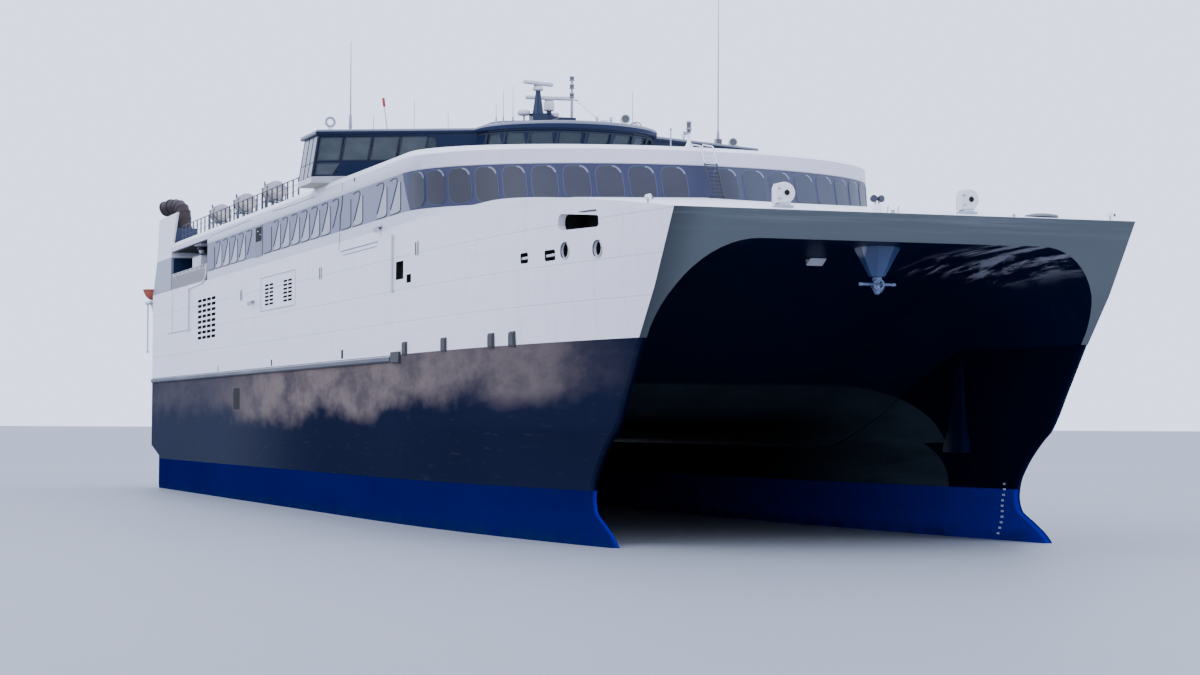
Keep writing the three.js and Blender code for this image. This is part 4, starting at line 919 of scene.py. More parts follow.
UPRIGHT_EDGE = [(0, 16.58), (0.03, 15.9), (0.05, 15.28)]
LOWER_EDGE = [(-0.1, 15.16), (-0.6, 15.11), (-2.0, 15.10)]
SLANTED_EDGE = [(0.65, 15.36), (0.85, 15.5), (1.2, 15.8), (1.55, 16.15), (1.85, 16.42), (2.04, 16.66)]
UPPER_EDGE = [(1.9, 16.82), (1.3, 16.86), (0.55, 16.80)]
window_places = [-28.05 + 2.65 * i for i in range(5)] + [-9.4 + 2.6 * i for i in range(7)]
uprights = [*window_places, 11.0, 13.6, 18.65, 21.35]
slants = [*window_places, 11.0, 16.0, 18.7]
PLATING_JOINT = [(9.09, 16.93), (8.99, 16.43), (8.63, 15.88), (8.54, 15.08)]
side_panes = Shell(side_glass)
for slant in slants:
    for upright in uprights:
        if 2.5 < upright - slant < 2.8:
            edge = [(slant + x, z) for x, z in SLANTED_EDGE]
            edge += [(upright + x, z) for x, z in [*UPRIGHT_EDGE, *LOWER_EDGE]]
            side_panes.slab(edge, HALF_BEAM - 0.02, HALF_BEAM + 0.006)
piece("side_panes", side_panes.mirrored())
loops = [[(x + along_x, z) for along_x, z in UPRIGHT_EDGE + LOWER_EDGE] for x in uprights]
loops += [[(x + along_x, z) for along_x, z in SLANTED_EDGE + UPPER_EDGE] for x in slants]
loops += [PLATING_JOINT, PLATING_JOINT]
bead_paths = [[(x, sign * (HALF_BEAM + 0.012), z) for x, z in loop] for loop in loops for sign in (1, -1)]
beads = grown(paths_mesh(bead_paths), bead_tree, Radius=0.027 * SHIP, Finish=dark_rubber_and_shadow.material)
piece("side_window_beads", beads)

# Roof deck: a white fascia over the windows, darkened to pale grey as painted shade, a bright sloping
# rim and the flat roof inside it.
# Its plating is open over the aft mooring recesses and beside the towers.
FASCIA_TOP_Z, ROOF_Z = 17.65, 17.97
RECESS_AFT_X, RECESS_TOP_Z, AFT_HOUSE_HALF, TOWER_INNER_Y = -45.5, 17.3, 8.4, 8.9
# The fascia's white paint is darkened to pale grey as painted shade.
fascia_white_in_shade = Finish("fascia_white_in_shade", Specular_IOR_Level=0.4)
fascia_shaded_whites = ((0.53, 0.515, 0.59), (0.61, 0.595, 0.67))
fascia_white_in_shade.coat(Base_Color=weathering(fascia_white_in_shade, *fascia_shaded_whites, 0.1, 0.3, 0.02)[0])
roof_paint = two_tone("roof_paint", (0.42, 0.44, 0.47), (0.60, 0.61, 0.64), (5, (1, 1, 1), 6),
                      waves=(0.15,), depth=0.01, Roughness=0.6)
roof_rings = [
    house_plan(STERN_X + 1, HALF_BEAM, FRONT_REACH - FRONT_LEAN, BAND_TOP_Z),
    house_plan(STERN_X + 1, HALF_BEAM + 0.02, FRONT_REACH - FRONT_LEAN + 0.03, BAND_TOP_Z + 0.04),
    house_plan(STERN_X + 1, HALF_BEAM, 8.5, FASCIA_TOP_Z),
    house_plan(STERN_X + 1, HALF_BEAM - 0.04, 8.32, FASCIA_TOP_Z + 0.07),
    house_plan(STERN_X + 1, HALF_BEAM - 0.25, 7.2, ROOF_Z),
]
roof_shell = Shell(fascia_white_in_shade)
roof_shell.loft(roof_rings[:3], fascia_white_in_shade, ends=False)
roof_shell.loft(roof_rings[2:], rim_paint, ends=False)
roof_shell.add(roof_rings[0], [range(len(roof_rings[0]))[::-1]], fascia_white_in_shade)
roof_shell.add(roof_rings[-1], [range(len(roof_rings[0]))], roof_paint)
FIN_INNER_Y, FIN_FOOT_X = HALF_BEAM - 0.15, -44.9
for sign in (1, -1):
    tower_y, fin_y = span(sign, TOWER_INNER_Y - HAIR, BEYOND), span(sign, FIN_INNER_Y - HAIR, BEYOND)
    tower_room = Shell(fascia_white_in_shade).box(STERN_X - 1, RECESS_AFT_X + HAIR, *tower_y, SIDE_TOP_Z, 21)
    fin_room = Shell(fascia_white_in_shade).box(RECESS_AFT_X, FIN_FOOT_X + HAIR, *fin_y, FASCIA_TOP_Z - HAIR, 21)
    recess_y = span(sign, AFT_HOUSE_HALF, BEYOND)
    recess = Shell(fascia_white_in_shade).box(RECESS_AFT_X, HOUSE_AFT_X - HAIR, *recess_y, SIDE_TOP_Z, RECESS_TOP_Z)
    for room in (tower_room, fin_room, recess):
        roof_shell = carve(roof_shell, ("DIFFERENCE", room))
piece("roof_plating", roof_shell, replaces=["roof_deck"])

# Belting: a half-round aluminium guard along the top of the navy, dark below with a pale painted
# highlight on top, with a rubber block at its fore end and four rubber landing pads ahead. A dark plate
# sits low aft.
belting_metal = Finish("belting_metal", Metallic=0.3)
belting_rub = belting_metal.noise(1.4, (0.25, 1, 1), 6, 0.65)
# The pale top of the guard is a painted highlight.
belting_highlight = belting_metal.mix(belting_rub, (0.22, 0.25, 0.31), (0.42, 0.46, 0.54))
belting_metal.coat(
    Base_Color=belting_metal.mix(belting_metal.z.rise(8.15, 8.09), belting_highlight, (0.022, 0.026, 0.040)),
    Roughness=belting_rub * 0.3 + 0.3,
)
pad_rubber = two_tone("pad_rubber", (0.014, 0.015, 0.018), (0.055, 0.056, 0.058),
                      (0.25, (1, 1, 0.4), 5), depth=0.02, Roughness=0.75)
belt_section = [(11.86, 7.84), (12.0, 7.86), (12.05, 7.93), (12.05, 8.08), (12.0, 8.15), (11.86, 8.17)]
belting = Shell(belting_metal)
belting.loft([[(x, y, z) for y, z in belt_section] for x in (STERN_X + 0.3, 19.9)])
end_block = (20.0, 21.6, 11.86, 12.03, 7.82, 8.34)
low_plate = (-20.9, -18.9, 11.86, 11.915, 5.72, 7.06)
belting.box(*end_block, pad_rubber)
belting.box(*low_plate, dark_paint_and_shade)
PAD_XS, PAD_Z, PAD_HALF_Z = (22.4, 29.1, 35.6, 38.05), 8.46, 0.32
for x in PAD_XS:
    y = outer_y(x, MOUTH_STEM_X)
    belting.block((x, y - 0.025, PAD_Z), 0.42, 0.075, PAD_HALF_Z, pad_rubber)
    belting.block((x, y - 0.005, PAD_Z), 0.35, 0.095, PAD_HALF_Z - 0.06, pad_rubber)
piece("belting", belting.mirrored(), bevel=0.012)

# Side fittings: pipes down the plating, twin ventilators, seals round the shell doors, mouldings,
# floodlight brackets, and the shelves and lips of the bow's openings. Small welded or bolted parts.
fitting_paint = two_tone("fitting_paint", (0.40, 0.41, 0.44), (0.66, 0.67, 0.71), (0.4, (1, 1, 0.3), 5),
                         Roughness=0.45)
mast_dark = two_tone("mast_dark", (0.012, 0.016, 0.032), (0.030, 0.036, 0.065), (0.3,), Roughness=0.5)
fittings = Shell(fitting_paint)
BEAD_Y, BEDDED_Y, PIPE_Y = HALF_BEAM + 0.012, HALF_BEAM - 0.02, HALF_BEAM + 0.05
pipes = ((19.95, 11.25, 14.1), (-37.6, 11.4, 14.3))
for x, low, high in pipes:
    fittings.rod((x, PIPE_Y, low), (x, PIPE_Y, high), 0.07, sides=10)
    for share in (0.05, 0.5, 0.95):
        fittings.block((x, HALF_BEAM + 0.015, low + (high - low) * share), 0.16, 0.035, 0.05)
fittings.rod((-39.0, HALF_BEAM + 0.04, 11.35), (-37.0, HALF_BEAM + 0.04, 11.35), 0.05, sides=8)
door_lines = [
    # x from, x to, z from, z to
    (8.7, 16.9, 13.93, 13.99),
    (9.3, 16.6, 13.72, 13.76),
    (-12.4, -2.6, 13.62, 13.66),
    (-12.4, -2.6, 11.60, 11.64),
    (-12.44, -12.4, 11.6, 13.66),
    (-2.6, -2.56, 11.6, 13.66),
    (-46.5, -39.4, 11.33, 11.38),
    (-44.6, -44.55, 11.38, 14.4),
]
for x0, x1, z0, z1 in door_lines:
    fittings.box(x0, x1, BEDDED_Y, BEAD_Y, z0, z1, seal_paint)
fascia_mouldings = [
    # points along the fascia
    [(-30.1, 17.05), (-29.95, 17.3), (-29.5, 17.42), (-22, 17.44), (-15.5, 17.46)],
    [(-9.2, 17.5), (-6, 17.44), (-2.4, 17.42), (2.4, 17.42)],
    [(9.05, 17.02), (9.0, 17.6)],
    [(8.54, 15.0), (8.31, 14.08)],
]
for moulding in fascia_mouldings:
    fittings.tube([(x, HALF_BEAM + 0.005, z) for x, z in moulding], 0.018, 6, dark_rubber_and_shadow)
fascia_vent = (11.6, 11.9, HALF_BEAM - 0.05, HALF_BEAM + 0.02, 17.44, 17.62)
fittings.box(*fascia_vent, mast_dark)
# Twin ventilators: the dark slot in each vent is painted shade.
twin_ventilators = ((3.95, 13.07), (24.5, 13.14), (-18.6, 12.9))
for x, z in twin_ventilators:
    y = outer_y(x, 52)
    for offset in (-0.22, 0.22):
        fittings.block((x + offset, y - 0.015, z), 0.12, 0.035, 0.36)
        fittings.block((x + offset, y + 0.013, z), 0.07, 0.013, 0.30, dark_paint_and_shade)
floodlights = ((17.3, 14.70), (-14.9, 12.4))
for x, z in floodlights:
    fittings.block((x, HALF_BEAM + 0.04, z), 0.5, 0.08, 0.05)
    lamp_ends = (x - 0.2, HALF_BEAM + 0.1, z - 0.05), (x + 0.35, HALF_BEAM + 0.3, z - 0.22)
    fittings.rod(*lamp_ends, 0.11, 0.15, 12)
for x, z, half in BOW_OPENINGS:
    fittings.block((x, bow_side(x) - 0.11, z), half, 0.09, 0.05)
# The upper and after part of each fairlead's lip is dark as a painted shadow, and the rest pale.
for outline in FAIRLEADS:
    lip = on_bow(outline, 0.01)
    fittings.tube(lip[3:17], 0.03, 6, dark_rubber_and_shadow)
    fittings.tube([*lip[16:], *lip[:4]], 0.03, 6, fitting_paint)
mooring_bar = ((45.1, 0.02, 13.30), (46.0, 0.08, 13.28), (47.0, 0.10, 13.25))
fittings.tube([(x, bow_side(x) + out, z) for x, out, z in mooring_bar], 0.035, finish=mast_dark)
piece("side_fittings", fittings.mirrored())

# Decks and walls that keep their built shape: the garage floor, the deck over it, the stern
# frame, the aft house and the towers. They are plated and painted.
deck_coating = two_tone("deck_coating", (0.10, 0.115, 0.13), (0.20, 0.215, 0.23),
                        (1.5, (0.3, 1, 1), 6), waves=(0.08,), depth=0.01, Roughness=0.7)
house_navy = two_tone("house_navy", (0.0035, 0.0115, 0.040), (0.007, 0.019, 0.058),
                      (2.0, (1, 1, 0.5), 5), (0.2, 0.22), (1.0,), 0.012, Specular_IOR_Level=0.3)
tower_paint = Finish("tower_paint", Specular_IOR_Level=0.4)
tower_white, tower_soft = weathering(tower_paint, *WHITES)
tower_blue = tower_paint.mix(tower_soft, (0.165, 0.172, 0.23), (0.225, 0.235, 0.30))
tower_colours = tower_paint.mix(tower_paint.z.rise(16.93, 16.90), tower_white, tower_blue)
on_casing = tower_paint.z.rise(17.975, 17.985) * tower_paint.y.size().rise(11.745, 11.735)
tower_paint.coat(Base_Color=tower_paint.mix(on_casing, tower_colours, (0.010, 0.020, 0.062)))


def dress(node, finish, bevel=None):
    """Gives a node that keeps its shape its finish, and a small worn edge."""
    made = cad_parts[node]
    made.data.materials.clear()
    made.data.materials.append(finish.material)
    if bevel:
        made.modifiers.new("joined_faces", "WELD").merge_threshold = 1e-5
        edges = made.modifiers.new("worn_edges", "BEVEL")
        edges.width = bevel * SHIP
        edges.segments = 2
        edges.limit_method = "ANGLE"
        edges.angle_limit = math.radians(40)


dress("vehicle_deck", deck_coating)
dress("passenger_deck", deck_coating)
dress("stern_frame", topside_paint, 0.02)
dress("aft_house", house_navy, 0.03)
for side in SIDES:
    dress(f"stern_tower_{side}", tower_paint, 0.04)

# Aft mooring recesses: a netted bulwark along the edge, with a capping rail and stanchions, and
# bollards and a winch on the deck inside. Galvanised steel.
galvanised = two_tone("galvanised", (0.17, 0.175, 0.185), (0.36, 0.37, 0.38), (0.25, (1, 1, 0.6), 6),
                      (0.3, 0.35), Metallic=0.55)
net_grey = Finish("net_grey", Roughness=0.7)
net_weave = net_grey.x.wrap(0.16).band(0.0, 0.05, 0.02) + net_grey.z.wrap(0.16).band(0.0, 0.05, 0.02)
net_cloth = net_grey.mix(net_weave.rise(0.2, 0.8), (0.20, 0.19, 0.195), (0.29, 0.28, 0.285))
net_ties = net_grey.z.rise(15.35, 15.45) * net_grey.x.wrap(0.9).band(0.1, 0.5, 0.1)
net_grey.coat(
    Base_Color=net_grey.mix(net_ties, net_cloth, (0.50, 0.49, 0.49)),
    Normal=net_grey.relief(net_weave, 0.02),
)
shaded_brown = two_tone("shaded_brown", (0.035, 0.028, 0.026), (0.075, 0.062, 0.056), (1.5,),
                        Roughness=0.7)

# Node tree: repeats a mesh in a row with the step given
row_links = [
    ("entry", "Count", "MeshLine", "Count"),
    ("entry", "Step", "MeshLine", "Offset"),
    ("MeshLine", "Mesh", "InstanceOnPoints", "Points"),
    ("entry", "Piece", "InstanceOnPoints", "Instance"),
    ("InstanceOnPoints", "Instances", "RealizeInstances", "Geometry"),
    *PAINTED,
]
row_inputs = {"Piece": "Geometry", "Count": "Int", "Step": "Vector", "Finish": "Material"}
repeat_tree, _ = group_tree("row_of_copies", row_links, **row_inputs)


def repeated(shell, count, step):
    """A shell's shape repeated, as a plain mesh; the step is in ship metres."""
    way = Vector(step) * SHIP
    return grown(shell.mesh(), repeat_tree, Count=count, Step=way, Finish=shell.finish.material)


BULWARK_TOP_Z, CORNER_R = 15.6, 1.1
for side, sign in BOTH_SIDES:
    face = sign * (HALF_BEAM - 0.06)
    aft_x, fore_x = RECESS_AFT_X + 0.05, HOUSE_AFT_X - 0.05
    corner = [(fore_x - CORNER_R + CORNER_R * math.sin(t), SIDE_TOP_Z + 1.12 - CORNER_R * math.cos(t))
              for t in fan(6, math.pi / 2)]
    foot = [(aft_x, SIDE_TOP_Z + 0.02), *corner]
    net = Shell(net_grey)
    net.slab([*foot, (fore_x, BULWARK_TOP_Z), (aft_x, BULWARK_TOP_Z)], face - 0.02, face + 0.02)
    rail = [(aft_x, face, BULWARK_TOP_Z), (fore_x, face, BULWARK_TOP_Z)]
    net.tube(rail, 0.07, finish=galvanised)
    net.tube([(x, face, z) for x, z in foot], 0.05, finish=galvanised)
    moulding = [(-37.6, 14.25), (-32.5, 14.38), (-31.6, 14.55), (-31.05, 14.9), (-30.8, 15.6)]
    net.tube([(x, sign * (HALF_BEAM + 0.04), z) for x, z in moulding], 0.055, finish=rim_paint)
    post_y, tie_y = face - sign * 0.04, span(sign, HALF_BEAM - 0.05, HALF_BEAM - 0.02)
    for i in range(9):
        x = aft_x + 0.6 + i * 1.7
        low = SIDE_TOP_Z + (0.03 if x < fore_x - 1.2 else 0.5)
        net.rod((x, post_y, low), (x, post_y, BULWARK_TOP_Z), 0.045, sides=8, finish=galvanised)
        if i < 7:
            net.box(x + 0.1, x + 0.95, *tie_y, 15.5, 15.66, rim_paint)
    piece(f"netted_bulwark_{side}", net, replaces=[f"recess_bulwark_{side}"])
mooring_gear = Shell(galvanised)
bollard = [(0, 0.30), (0.06, 0.30), (0.08, 0.2), (0.75, 0.2), (0.82, 0.28), (0.92, 0.28), (0.96, 0.2)]
for x in (-43.4, -42.5, -34.6, -33.7):
    mooring_gear.turned(bollard, (x, 10.9, SIDE_TOP_Z), 16)
WINCH_Y, WINCH_Z = 10.1, SIDE_TOP_Z + 0.65
winch_bed = (-40.2, -37.0, 9.5, 10.7, SIDE_TOP_Z, SIDE_TOP_Z + 0.2)
mooring_gear.box(*winch_bed)
for x in (-39.9, -38.6, -37.3):
    mooring_gear.turned([(0, 0.45), (0.12, 0.45)], (x, WINCH_Y, WINCH_Z), 20, axis=(1, 0, 0))
mooring_gear.rod((-39.9, WINCH_Y, WINCH_Z), (-37.2, WINCH_Y, WINCH_Z), 0.25)
LOCKER_TOP_Z, SHADOW_SHEET_Z = 16.5, 17.295
locker = (-38.8, -35.4, 10.8, 11.5, SIDE_TOP_Z, LOCKER_TOP_Z)
locker_lid = (-38.9, -35.3, 10.7, 11.55, LOCKER_TOP_Z, LOCKER_TOP_Z + 0.06)
mooring_gear.box(*locker, fitting_paint)
mooring_gear.box(*locker_lid, mast_dark)
lamp_x, lamp_y = -38.5, 10.9
mooring_gear.rod((lamp_x, lamp_y, 17.28), (lamp_x, lamp_y, 17.02), 0.34, 0.30, 20, mast_dark)
mooring_gear.rod((lamp_x, lamp_y, 17.03), (lamp_x, lamp_y, 16.82), 0.22, 0.16, 20, rim_paint)
light_panel = (-37.6, -35.2, 10.7, 11.6, 17.24, SHADOW_SHEET_Z)
mooring_gear.box(*light_panel, rim_paint)
# A thin brown sheet under the recess ceiling is a painted shadow.
ceiling_shadow_sheet = (RECESS_AFT_X, HOUSE_AFT_X - 0.01, AFT_HOUSE_HALF + 0.01, 11.7, 17.28, SHADOW_SHEET_Z)
mooring_gear.box(*ceiling_shadow_sheet, shaded_brown)
end_wall = (RECESS_AFT_X + 0.005, RECESS_AFT_X + 0.03, TOWER_INNER_Y, 11.72, SIDE_TOP_Z, 16.86)
mooring_gear.box(*end_wall, house_navy)
piece("mooring_gear", mooring_gear.mirrored(), bevel=0.015)

# Side doors of the passenger house: one navy door each side in the painted band, its upper half
# dark glass with two small vents. Pressed aluminium on hinges.
side_doors = Shell(house_navy)
side_doors.box(-14.24, -12.06, HALF_BEAM - 0.03, HALF_BEAM + 0.03, 15.0, 16.9)
side_doors.box(-14.0, -12.3, HALF_BEAM, HALF_BEAM + 0.045, 15.95, 16.82, dark_paint_and_shade)
for x, z in ((-13.5, 16.55), (-12.7, 16.3)):
    side_doors.box(x, x + 0.3, HALF_BEAM, HALF_BEAM + 0.055, z, z + 0.06, fitting_paint)
piece("side_doors", side_doors.mirrored(), bevel=0.012)

# Wheelhouse: navy walls that lean out over the roof, with wings over both sides and a round bay
# in front. Toughened teal glass is bonded behind the window openings, and desks stand inside.
WING_TIP_Y, WING_ROOT_Y, WING_FRONT_X, WING_AFT_X = 12.6, 7.5, 6.4, 3.0
WALL_Z, WALL_TOP_Z, EAVES_Z, WALL_LEAN = 18.3, 20.4, 20.65, 1.6
BAY_HALF, BAY_ROOT_X, BAY_REACH = 4.85, 10.4, 3.9


def bridge_plan(z, grow, brow=0, steps=10):
    """The wheelhouse's plan at a height; brow raises the middle of the round bay."""
    lean = WALL_LEAN * (WALL_TOP_Z - z) / (WALL_TOP_Z - WALL_Z)
    reach, half = BAY_REACH + grow, BAY_HALF + grow
    bay = [(BAY_ROOT_X - lean + reach * math.sin(t), -half * math.cos(t), z + brow * math.sin(t))
           for t in fan(steps)]
    wing = [
        (-7 - grow, 5.5 + grow, z),
        (WING_AFT_X - lean - grow, WING_ROOT_Y + grow, z),
        (WING_AFT_X - lean - grow, WING_TIP_Y + grow, z),
        (WING_FRONT_X - lean + grow, WING_TIP_Y + grow, z),
    ]
    return [*[(x, -y, z) for x, y, z in wing], *bay, *reversed(wing)]


dress("wheelhouse_walls", house_navy)
bridge_glass = two_tone("bridge_glass", (0.030, 0.050, 0.062), (0.075, 0.100, 0.112),
                        (2.2, (1, 0.7, 1.6), 3), waves=(1.4, (1, 1, 0.7), 1), depth=0.01,
                        Specular_IOR_Level=0.5, Alpha=0.7, Roughness=0.05)
glazing = Shell(bridge_glass)
GLASS_LOW_Z, GLASS_HIGH_Z = 18.42, 20.34
glass_section = ((GLASS_LOW_Z, -0.08), (GLASS_HIGH_Z, -0.08), (GLASS_HIGH_Z, -0.11), (GLASS_LOW_Z, -0.11),
                 (GLASS_LOW_Z, -0.08))
glazing.loft([bridge_plan(z, grow) for z, grow in glass_section], ends=False)
piece("wheelhouse_glazing", glazing, sharp=12)
wing_glass = two_tone("wing_glass", (0.030, 0.045, 0.052), (0.115, 0.135, 0.140),
                      (1.1, (1, 1, 1.6), 5, 0.6), Specular_IOR_Level=0.4, Roughness=0.15)
PANE_FOOT_Z, PANE_HEAD_Z, LOW_FOOT_Z, LOW_HEAD_Z = 19.12, 20.27, 18.38, 18.98
WING_PANES = [
    [(near, PANE_FOOT_Z), (near, PANE_HEAD_Z), (far, PANE_HEAD_Z), (far, PANE_FOOT_Z)]
    for near, far in ((0.014, 0.155), (0.172, 0.336), (0.354, 0.512), (0.529, 0.69))
]
WING_PANES.append([(0.016, LOW_FOOT_Z), (0.016, LOW_HEAD_Z), (0.165, LOW_HEAD_Z), (0.125, LOW_FOOT_Z)])


def on_wing(share, z, out):
    """A point on the starboard wing's front wall, share of the way from its tip to the bay."""
    tip, root = (Vector(bridge_plan(z, 0)[corner]) for corner in (3, 4))
    along_wall = root - tip
    return tip + along_wall * share + Vector((along_wall.y, -along_wall.x, 0)).normalized() * out


wing_panes = Shell(wing_glass)
for corners in WING_PANES:
    wing_panes.loft([[on_wing(share, z, out) for share, z in corners] for out in (-0.02, 0.025)])
    for start, end in zip(corners, [*corners[1:], corners[0]]):
        wing_panes.rod(on_wing(*start, 0.01), on_wing(*end, 0.01), 0.04, sides=6, finish=mast_dark)
piece("wing_panes", wing_panes.mirrored())

# Window frames of the wheelhouse: black mullions between the bay's panes, a bar along their heads
# and feet, and a post at each wing's outer front corner. Extruded aluminium sections.
mullion_black = two_tone("mullion_black", (0.008, 0.014, 0.028), (0.018, 0.028, 0.05), (0.3,),
                         Roughness=0.4)
frames = Shell(mullion_black)
BAY_CORNERS, BAY_SILL_Z, BAY_HEAD_Z = slice(4, 15), 19.05, 20.27
feet, heads = (bridge_plan(z, 0.03)[BAY_CORNERS] for z in (BAY_SILL_Z - 0.03, BAY_HEAD_Z + 0.03))
for low, high in [*zip(feet, heads)][1:-1]:
    frames.rod(low, high, 0.075, sides=8)
for z in (BAY_SILL_Z, BAY_HEAD_Z):
    frames.tube(bridge_plan(z, 0.03)[BAY_CORNERS], 0.05, sides=6)
for sign in (1, -1):
    low, high = (bridge_plan(z, 0.02)[3] for z in (18.32, 20.38))
    y = sign * (WING_TIP_Y + 0.02)
    frames.rod((low[0], y, low[2]), (high[0], y, high[2]), 0.06, sides=6)
piece("window_frames", frames)

# End walls of the wings: pale tinted sheets over the whole wall, with a dark bar across them and
# four dark mullions. Extruded aluminium and bonded panes.
wing_frames = Shell(side_glass)
for sign in (1, -1):
    for z0, z1, finish in ((18.32, 19.0, side_glass), (19.06, 20.39, side_glass), (19.0, 19.06, mast_dark)):
        lower, upper = bridge_plan(z0, 0.01), bridge_plan(z1, 0.01)
        sheet = [(point[0], point[2]) for point in (lower[2], lower[3], upper[3], upper[2])]
        wing_frames.slab(sheet, sign * (WING_TIP_Y + 0.01), sign * (WING_TIP_Y + 0.04), finish)
    for share in (0.01, 0.36, 0.66, 0.95):
        ends = []
        for plan in (bridge_plan(18.34, 0.02), bridge_plan(20.38, 0.02)):
            x = plan[2][0] + (plan[3][0] - plan[2][0]) * share
            ends.append((x + 0.05, sign * (WING_TIP_Y + 0.03), plan[2][2]))
        wing_frames.rod(*ends, 0.035, sides=6, finish=mast_dark)
piece("wing_end_frames", wing_frames)

# Wheelhouse interior: a console that follows the bay, wing consoles and three helm chairs, in
# dark laminate and vinyl.
laminate = two_tone("laminate", (0.03, 0.032, 0.036), (0.06, 0.063, 0.07), (0.6,), Roughness=0.5)
ceiling_cream = two_tone("ceiling_cream", (0.55, 0.52, 0.40), (0.66, 0.63, 0.52), (1,), Roughness=0.7)
inside = Shell(laminate)
BRIDGE_FLOOR_Z, SEAT_Z, SEAT_TOP_Z, BACK_TOP_Z = 18.33, 18.75, 18.9, 19.75
desk, desk_back = (bridge_plan(18.35, -inset)[BAY_CORNERS] for inset in (1.0, 1.9))
for i in range(1, 9):
    quad = [desk[i], desk[i + 1], desk_back[i + 1], desk_back[i]]
    inside.loft([[(x, y, z) for x, y, _ in quad] for z in (BRIDGE_FLOOR_Z, 19.0)])
for sign in (1, -1):
    inside.box(2.8, 4.1, *span(sign, 11.2, 12.1), BRIDGE_FLOOR_Z, 19.15)
    inside.box(1.9, 2.5, *span(sign, 9.0, 10.2), BRIDGE_FLOOR_Z, 19.35)
for y in (-2.0, 0, 2.0):
    inside.rod((8.7, y, BRIDGE_FLOOR_Z), (8.7, y, SEAT_Z), 0.09, sides=10)
    inside.box(8.35, 9.0, y - 0.3, y + 0.3, SEAT_Z, SEAT_TOP_Z)
    inside.box(8.25, 8.42, y - 0.28, y + 0.28, SEAT_TOP_Z, BACK_TOP_Z)
piece("wheelhouse_inside", inside, bevel=0.03)
ceiling_levels = (WALL_TOP_Z - 0.08, WALL_TOP_Z - 0.03)
ceiling = Shell(ceiling_cream).loft([bridge_plan(z, -0.26) for z in ceiling_levels])
piece("wheelhouse_ceiling", ceiling)

# Wheelhouse base and roof: a white plinth over the passenger roof, darkened to pale grey as painted
# shade like the fascia, and a plated roof with a pale rounded edge and a raised crown over the middle.
plinth = [bridge_plan(z, 0.05) for z in (ROOF_Z + HAIR, WALL_Z - HAIR)]
piece("wheelhouse_base", Shell(fascia_white_in_shade).loft(plinth, fascia_white_in_shade, ceiling_cream),
      replaces=["wheelhouse_floor"], bevel=0.02)
edge_grey = two_tone("edge_grey", (0.20, 0.21, 0.26), (0.32, 0.33, 0.39), (1.2, (0.6, 0.6, 1), 5),
                     (0.2, 0.3), Specular_IOR_Level=0.4)
crown_navy = two_tone("crown_navy", (0.030, 0.042, 0.095), (0.055, 0.072, 0.14), (1.5, (1, 1, 1), 5),
                      (0.2, 0.35), Specular_IOR_Level=0.4)
eaves_section = [
    # height, growth over the walls, rise in the middle
    (WALL_TOP_Z + HAIR, 0.20, 0),
    (WALL_TOP_Z + 0.04, 0.25, 0.02),
    (EAVES_Z - 0.11, 0.25, 0.10),
    (EAVES_Z - 0.04, 0.25, 0.13),
    (EAVES_Z, 0.19, 0.15),
]
eaves = [bridge_plan(*row, 40) for row in eaves_section]
bridge_roof = Shell(edge_grey).loft(eaves[:3], house_navy, ends=False).loft(eaves[2:], ends=False)
bridge_roof.add(eaves[0], [range(len(eaves[0]))[::-1]], house_navy)
bridge_roof.add(eaves[-1], [range(len(eaves[-1]))], roof_paint)


def crown_plan(z, inset):
    bay = [(9.3 + (2.6 - inset) * math.sin(t), -(4.5 - inset) * math.cos(t), z) for t in fan(40)]
    return [(-5 + inset, inset - 4.5, z), *bay, (-5 + inset, 4.5 - inset, z)]


crown_section = ((EAVES_Z - 0.05, -0.05), (EAVES_Z + 0.02, 0), (21.12, 0.62), (21.15, 0.72))
bridge_roof.loft([crown_plan(z, inset) for z, inset in crown_section], crown_navy)
piece("wheelhouse_top", bridge_roof, replaces=["wheelhouse_roof"])

# Radar mast: a navy plinth with a stepped pedestal under each scanner, and service boxes. Welded
# aluminium, bolted to the crown.
instrument_white = two_tone("instrument_white", (0.50, 0.50, 0.52), (0.70, 0.70, 0.73),
                            (0.35, (1, 1, 0.4), 6), depth=0.004, Roughness=0.35)
lens_glass = two_tone("lens_glass", (0.02, 0.025, 0.03), (0.05, 0.055, 0.065), (0.1,),
                      Roughness=0.1, Coat_Weight=0.5)
mast_grey = two_tone("mast_grey", (0.20, 0.21, 0.24), (0.36, 0.37, 0.41), (0.3, (1, 1, 0.3), 5),
                     Roughness=0.45)
ROOF_TOP_Z, PLINTH_TOP_Z, PEDESTAL_TOP_Z = 21.15, 21.45, 22.0
SCANNERS = [
    # body, x, y, height of the bar, its length, its turn in degrees, top of the neck
    ("radar_upper", 7.2, -0.48, 23.6, 2.1, 24.5, 23.25),
    ("radar_lower", 6.0, 0.54, 22.97, 2.7, -6, 22.3),
]
radar_base = Shell(house_navy)
mast_plinth = (5.0, 8.6, -1.45, 1.45, ROOF_TOP_Z + HAIR, PLINTH_TOP_Z)
radar_base.box(*mast_plinth)
for _, x, y, bar_z, _, _, neck_z in SCANNERS:
    radar_base.box(x - 0.4, x + 0.4, y - 0.4, y + 0.4, PLINTH_TOP_Z - 0.05, PEDESTAL_TOP_Z)
    foot_z, gear_high = PEDESTAL_TOP_Z - 0.03, bar_z - neck_z
    neck = [(0, 0.32), (0.1, 0.30), (neck_z - foot_z - 0.13, 0.15), (neck_z - foot_z + 0.02, 0.13)]
    radar_base.turned(neck, (x, y, foot_z), 20)
    gear = [(0, 0.14), (0.03, 0.26), (0.08, 0.30), (gear_high - 0.2, 0.30), (gear_high - 0.13, 0.26),
            (gear_high - 0.1, 0.24)]
    radar_base.turned(gear, (x, y, neck_z), 24, instrument_white)
service_box = (7.0, 8.4, 0.35, 1.35, PLINTH_TOP_Z - 0.02, 21.72)
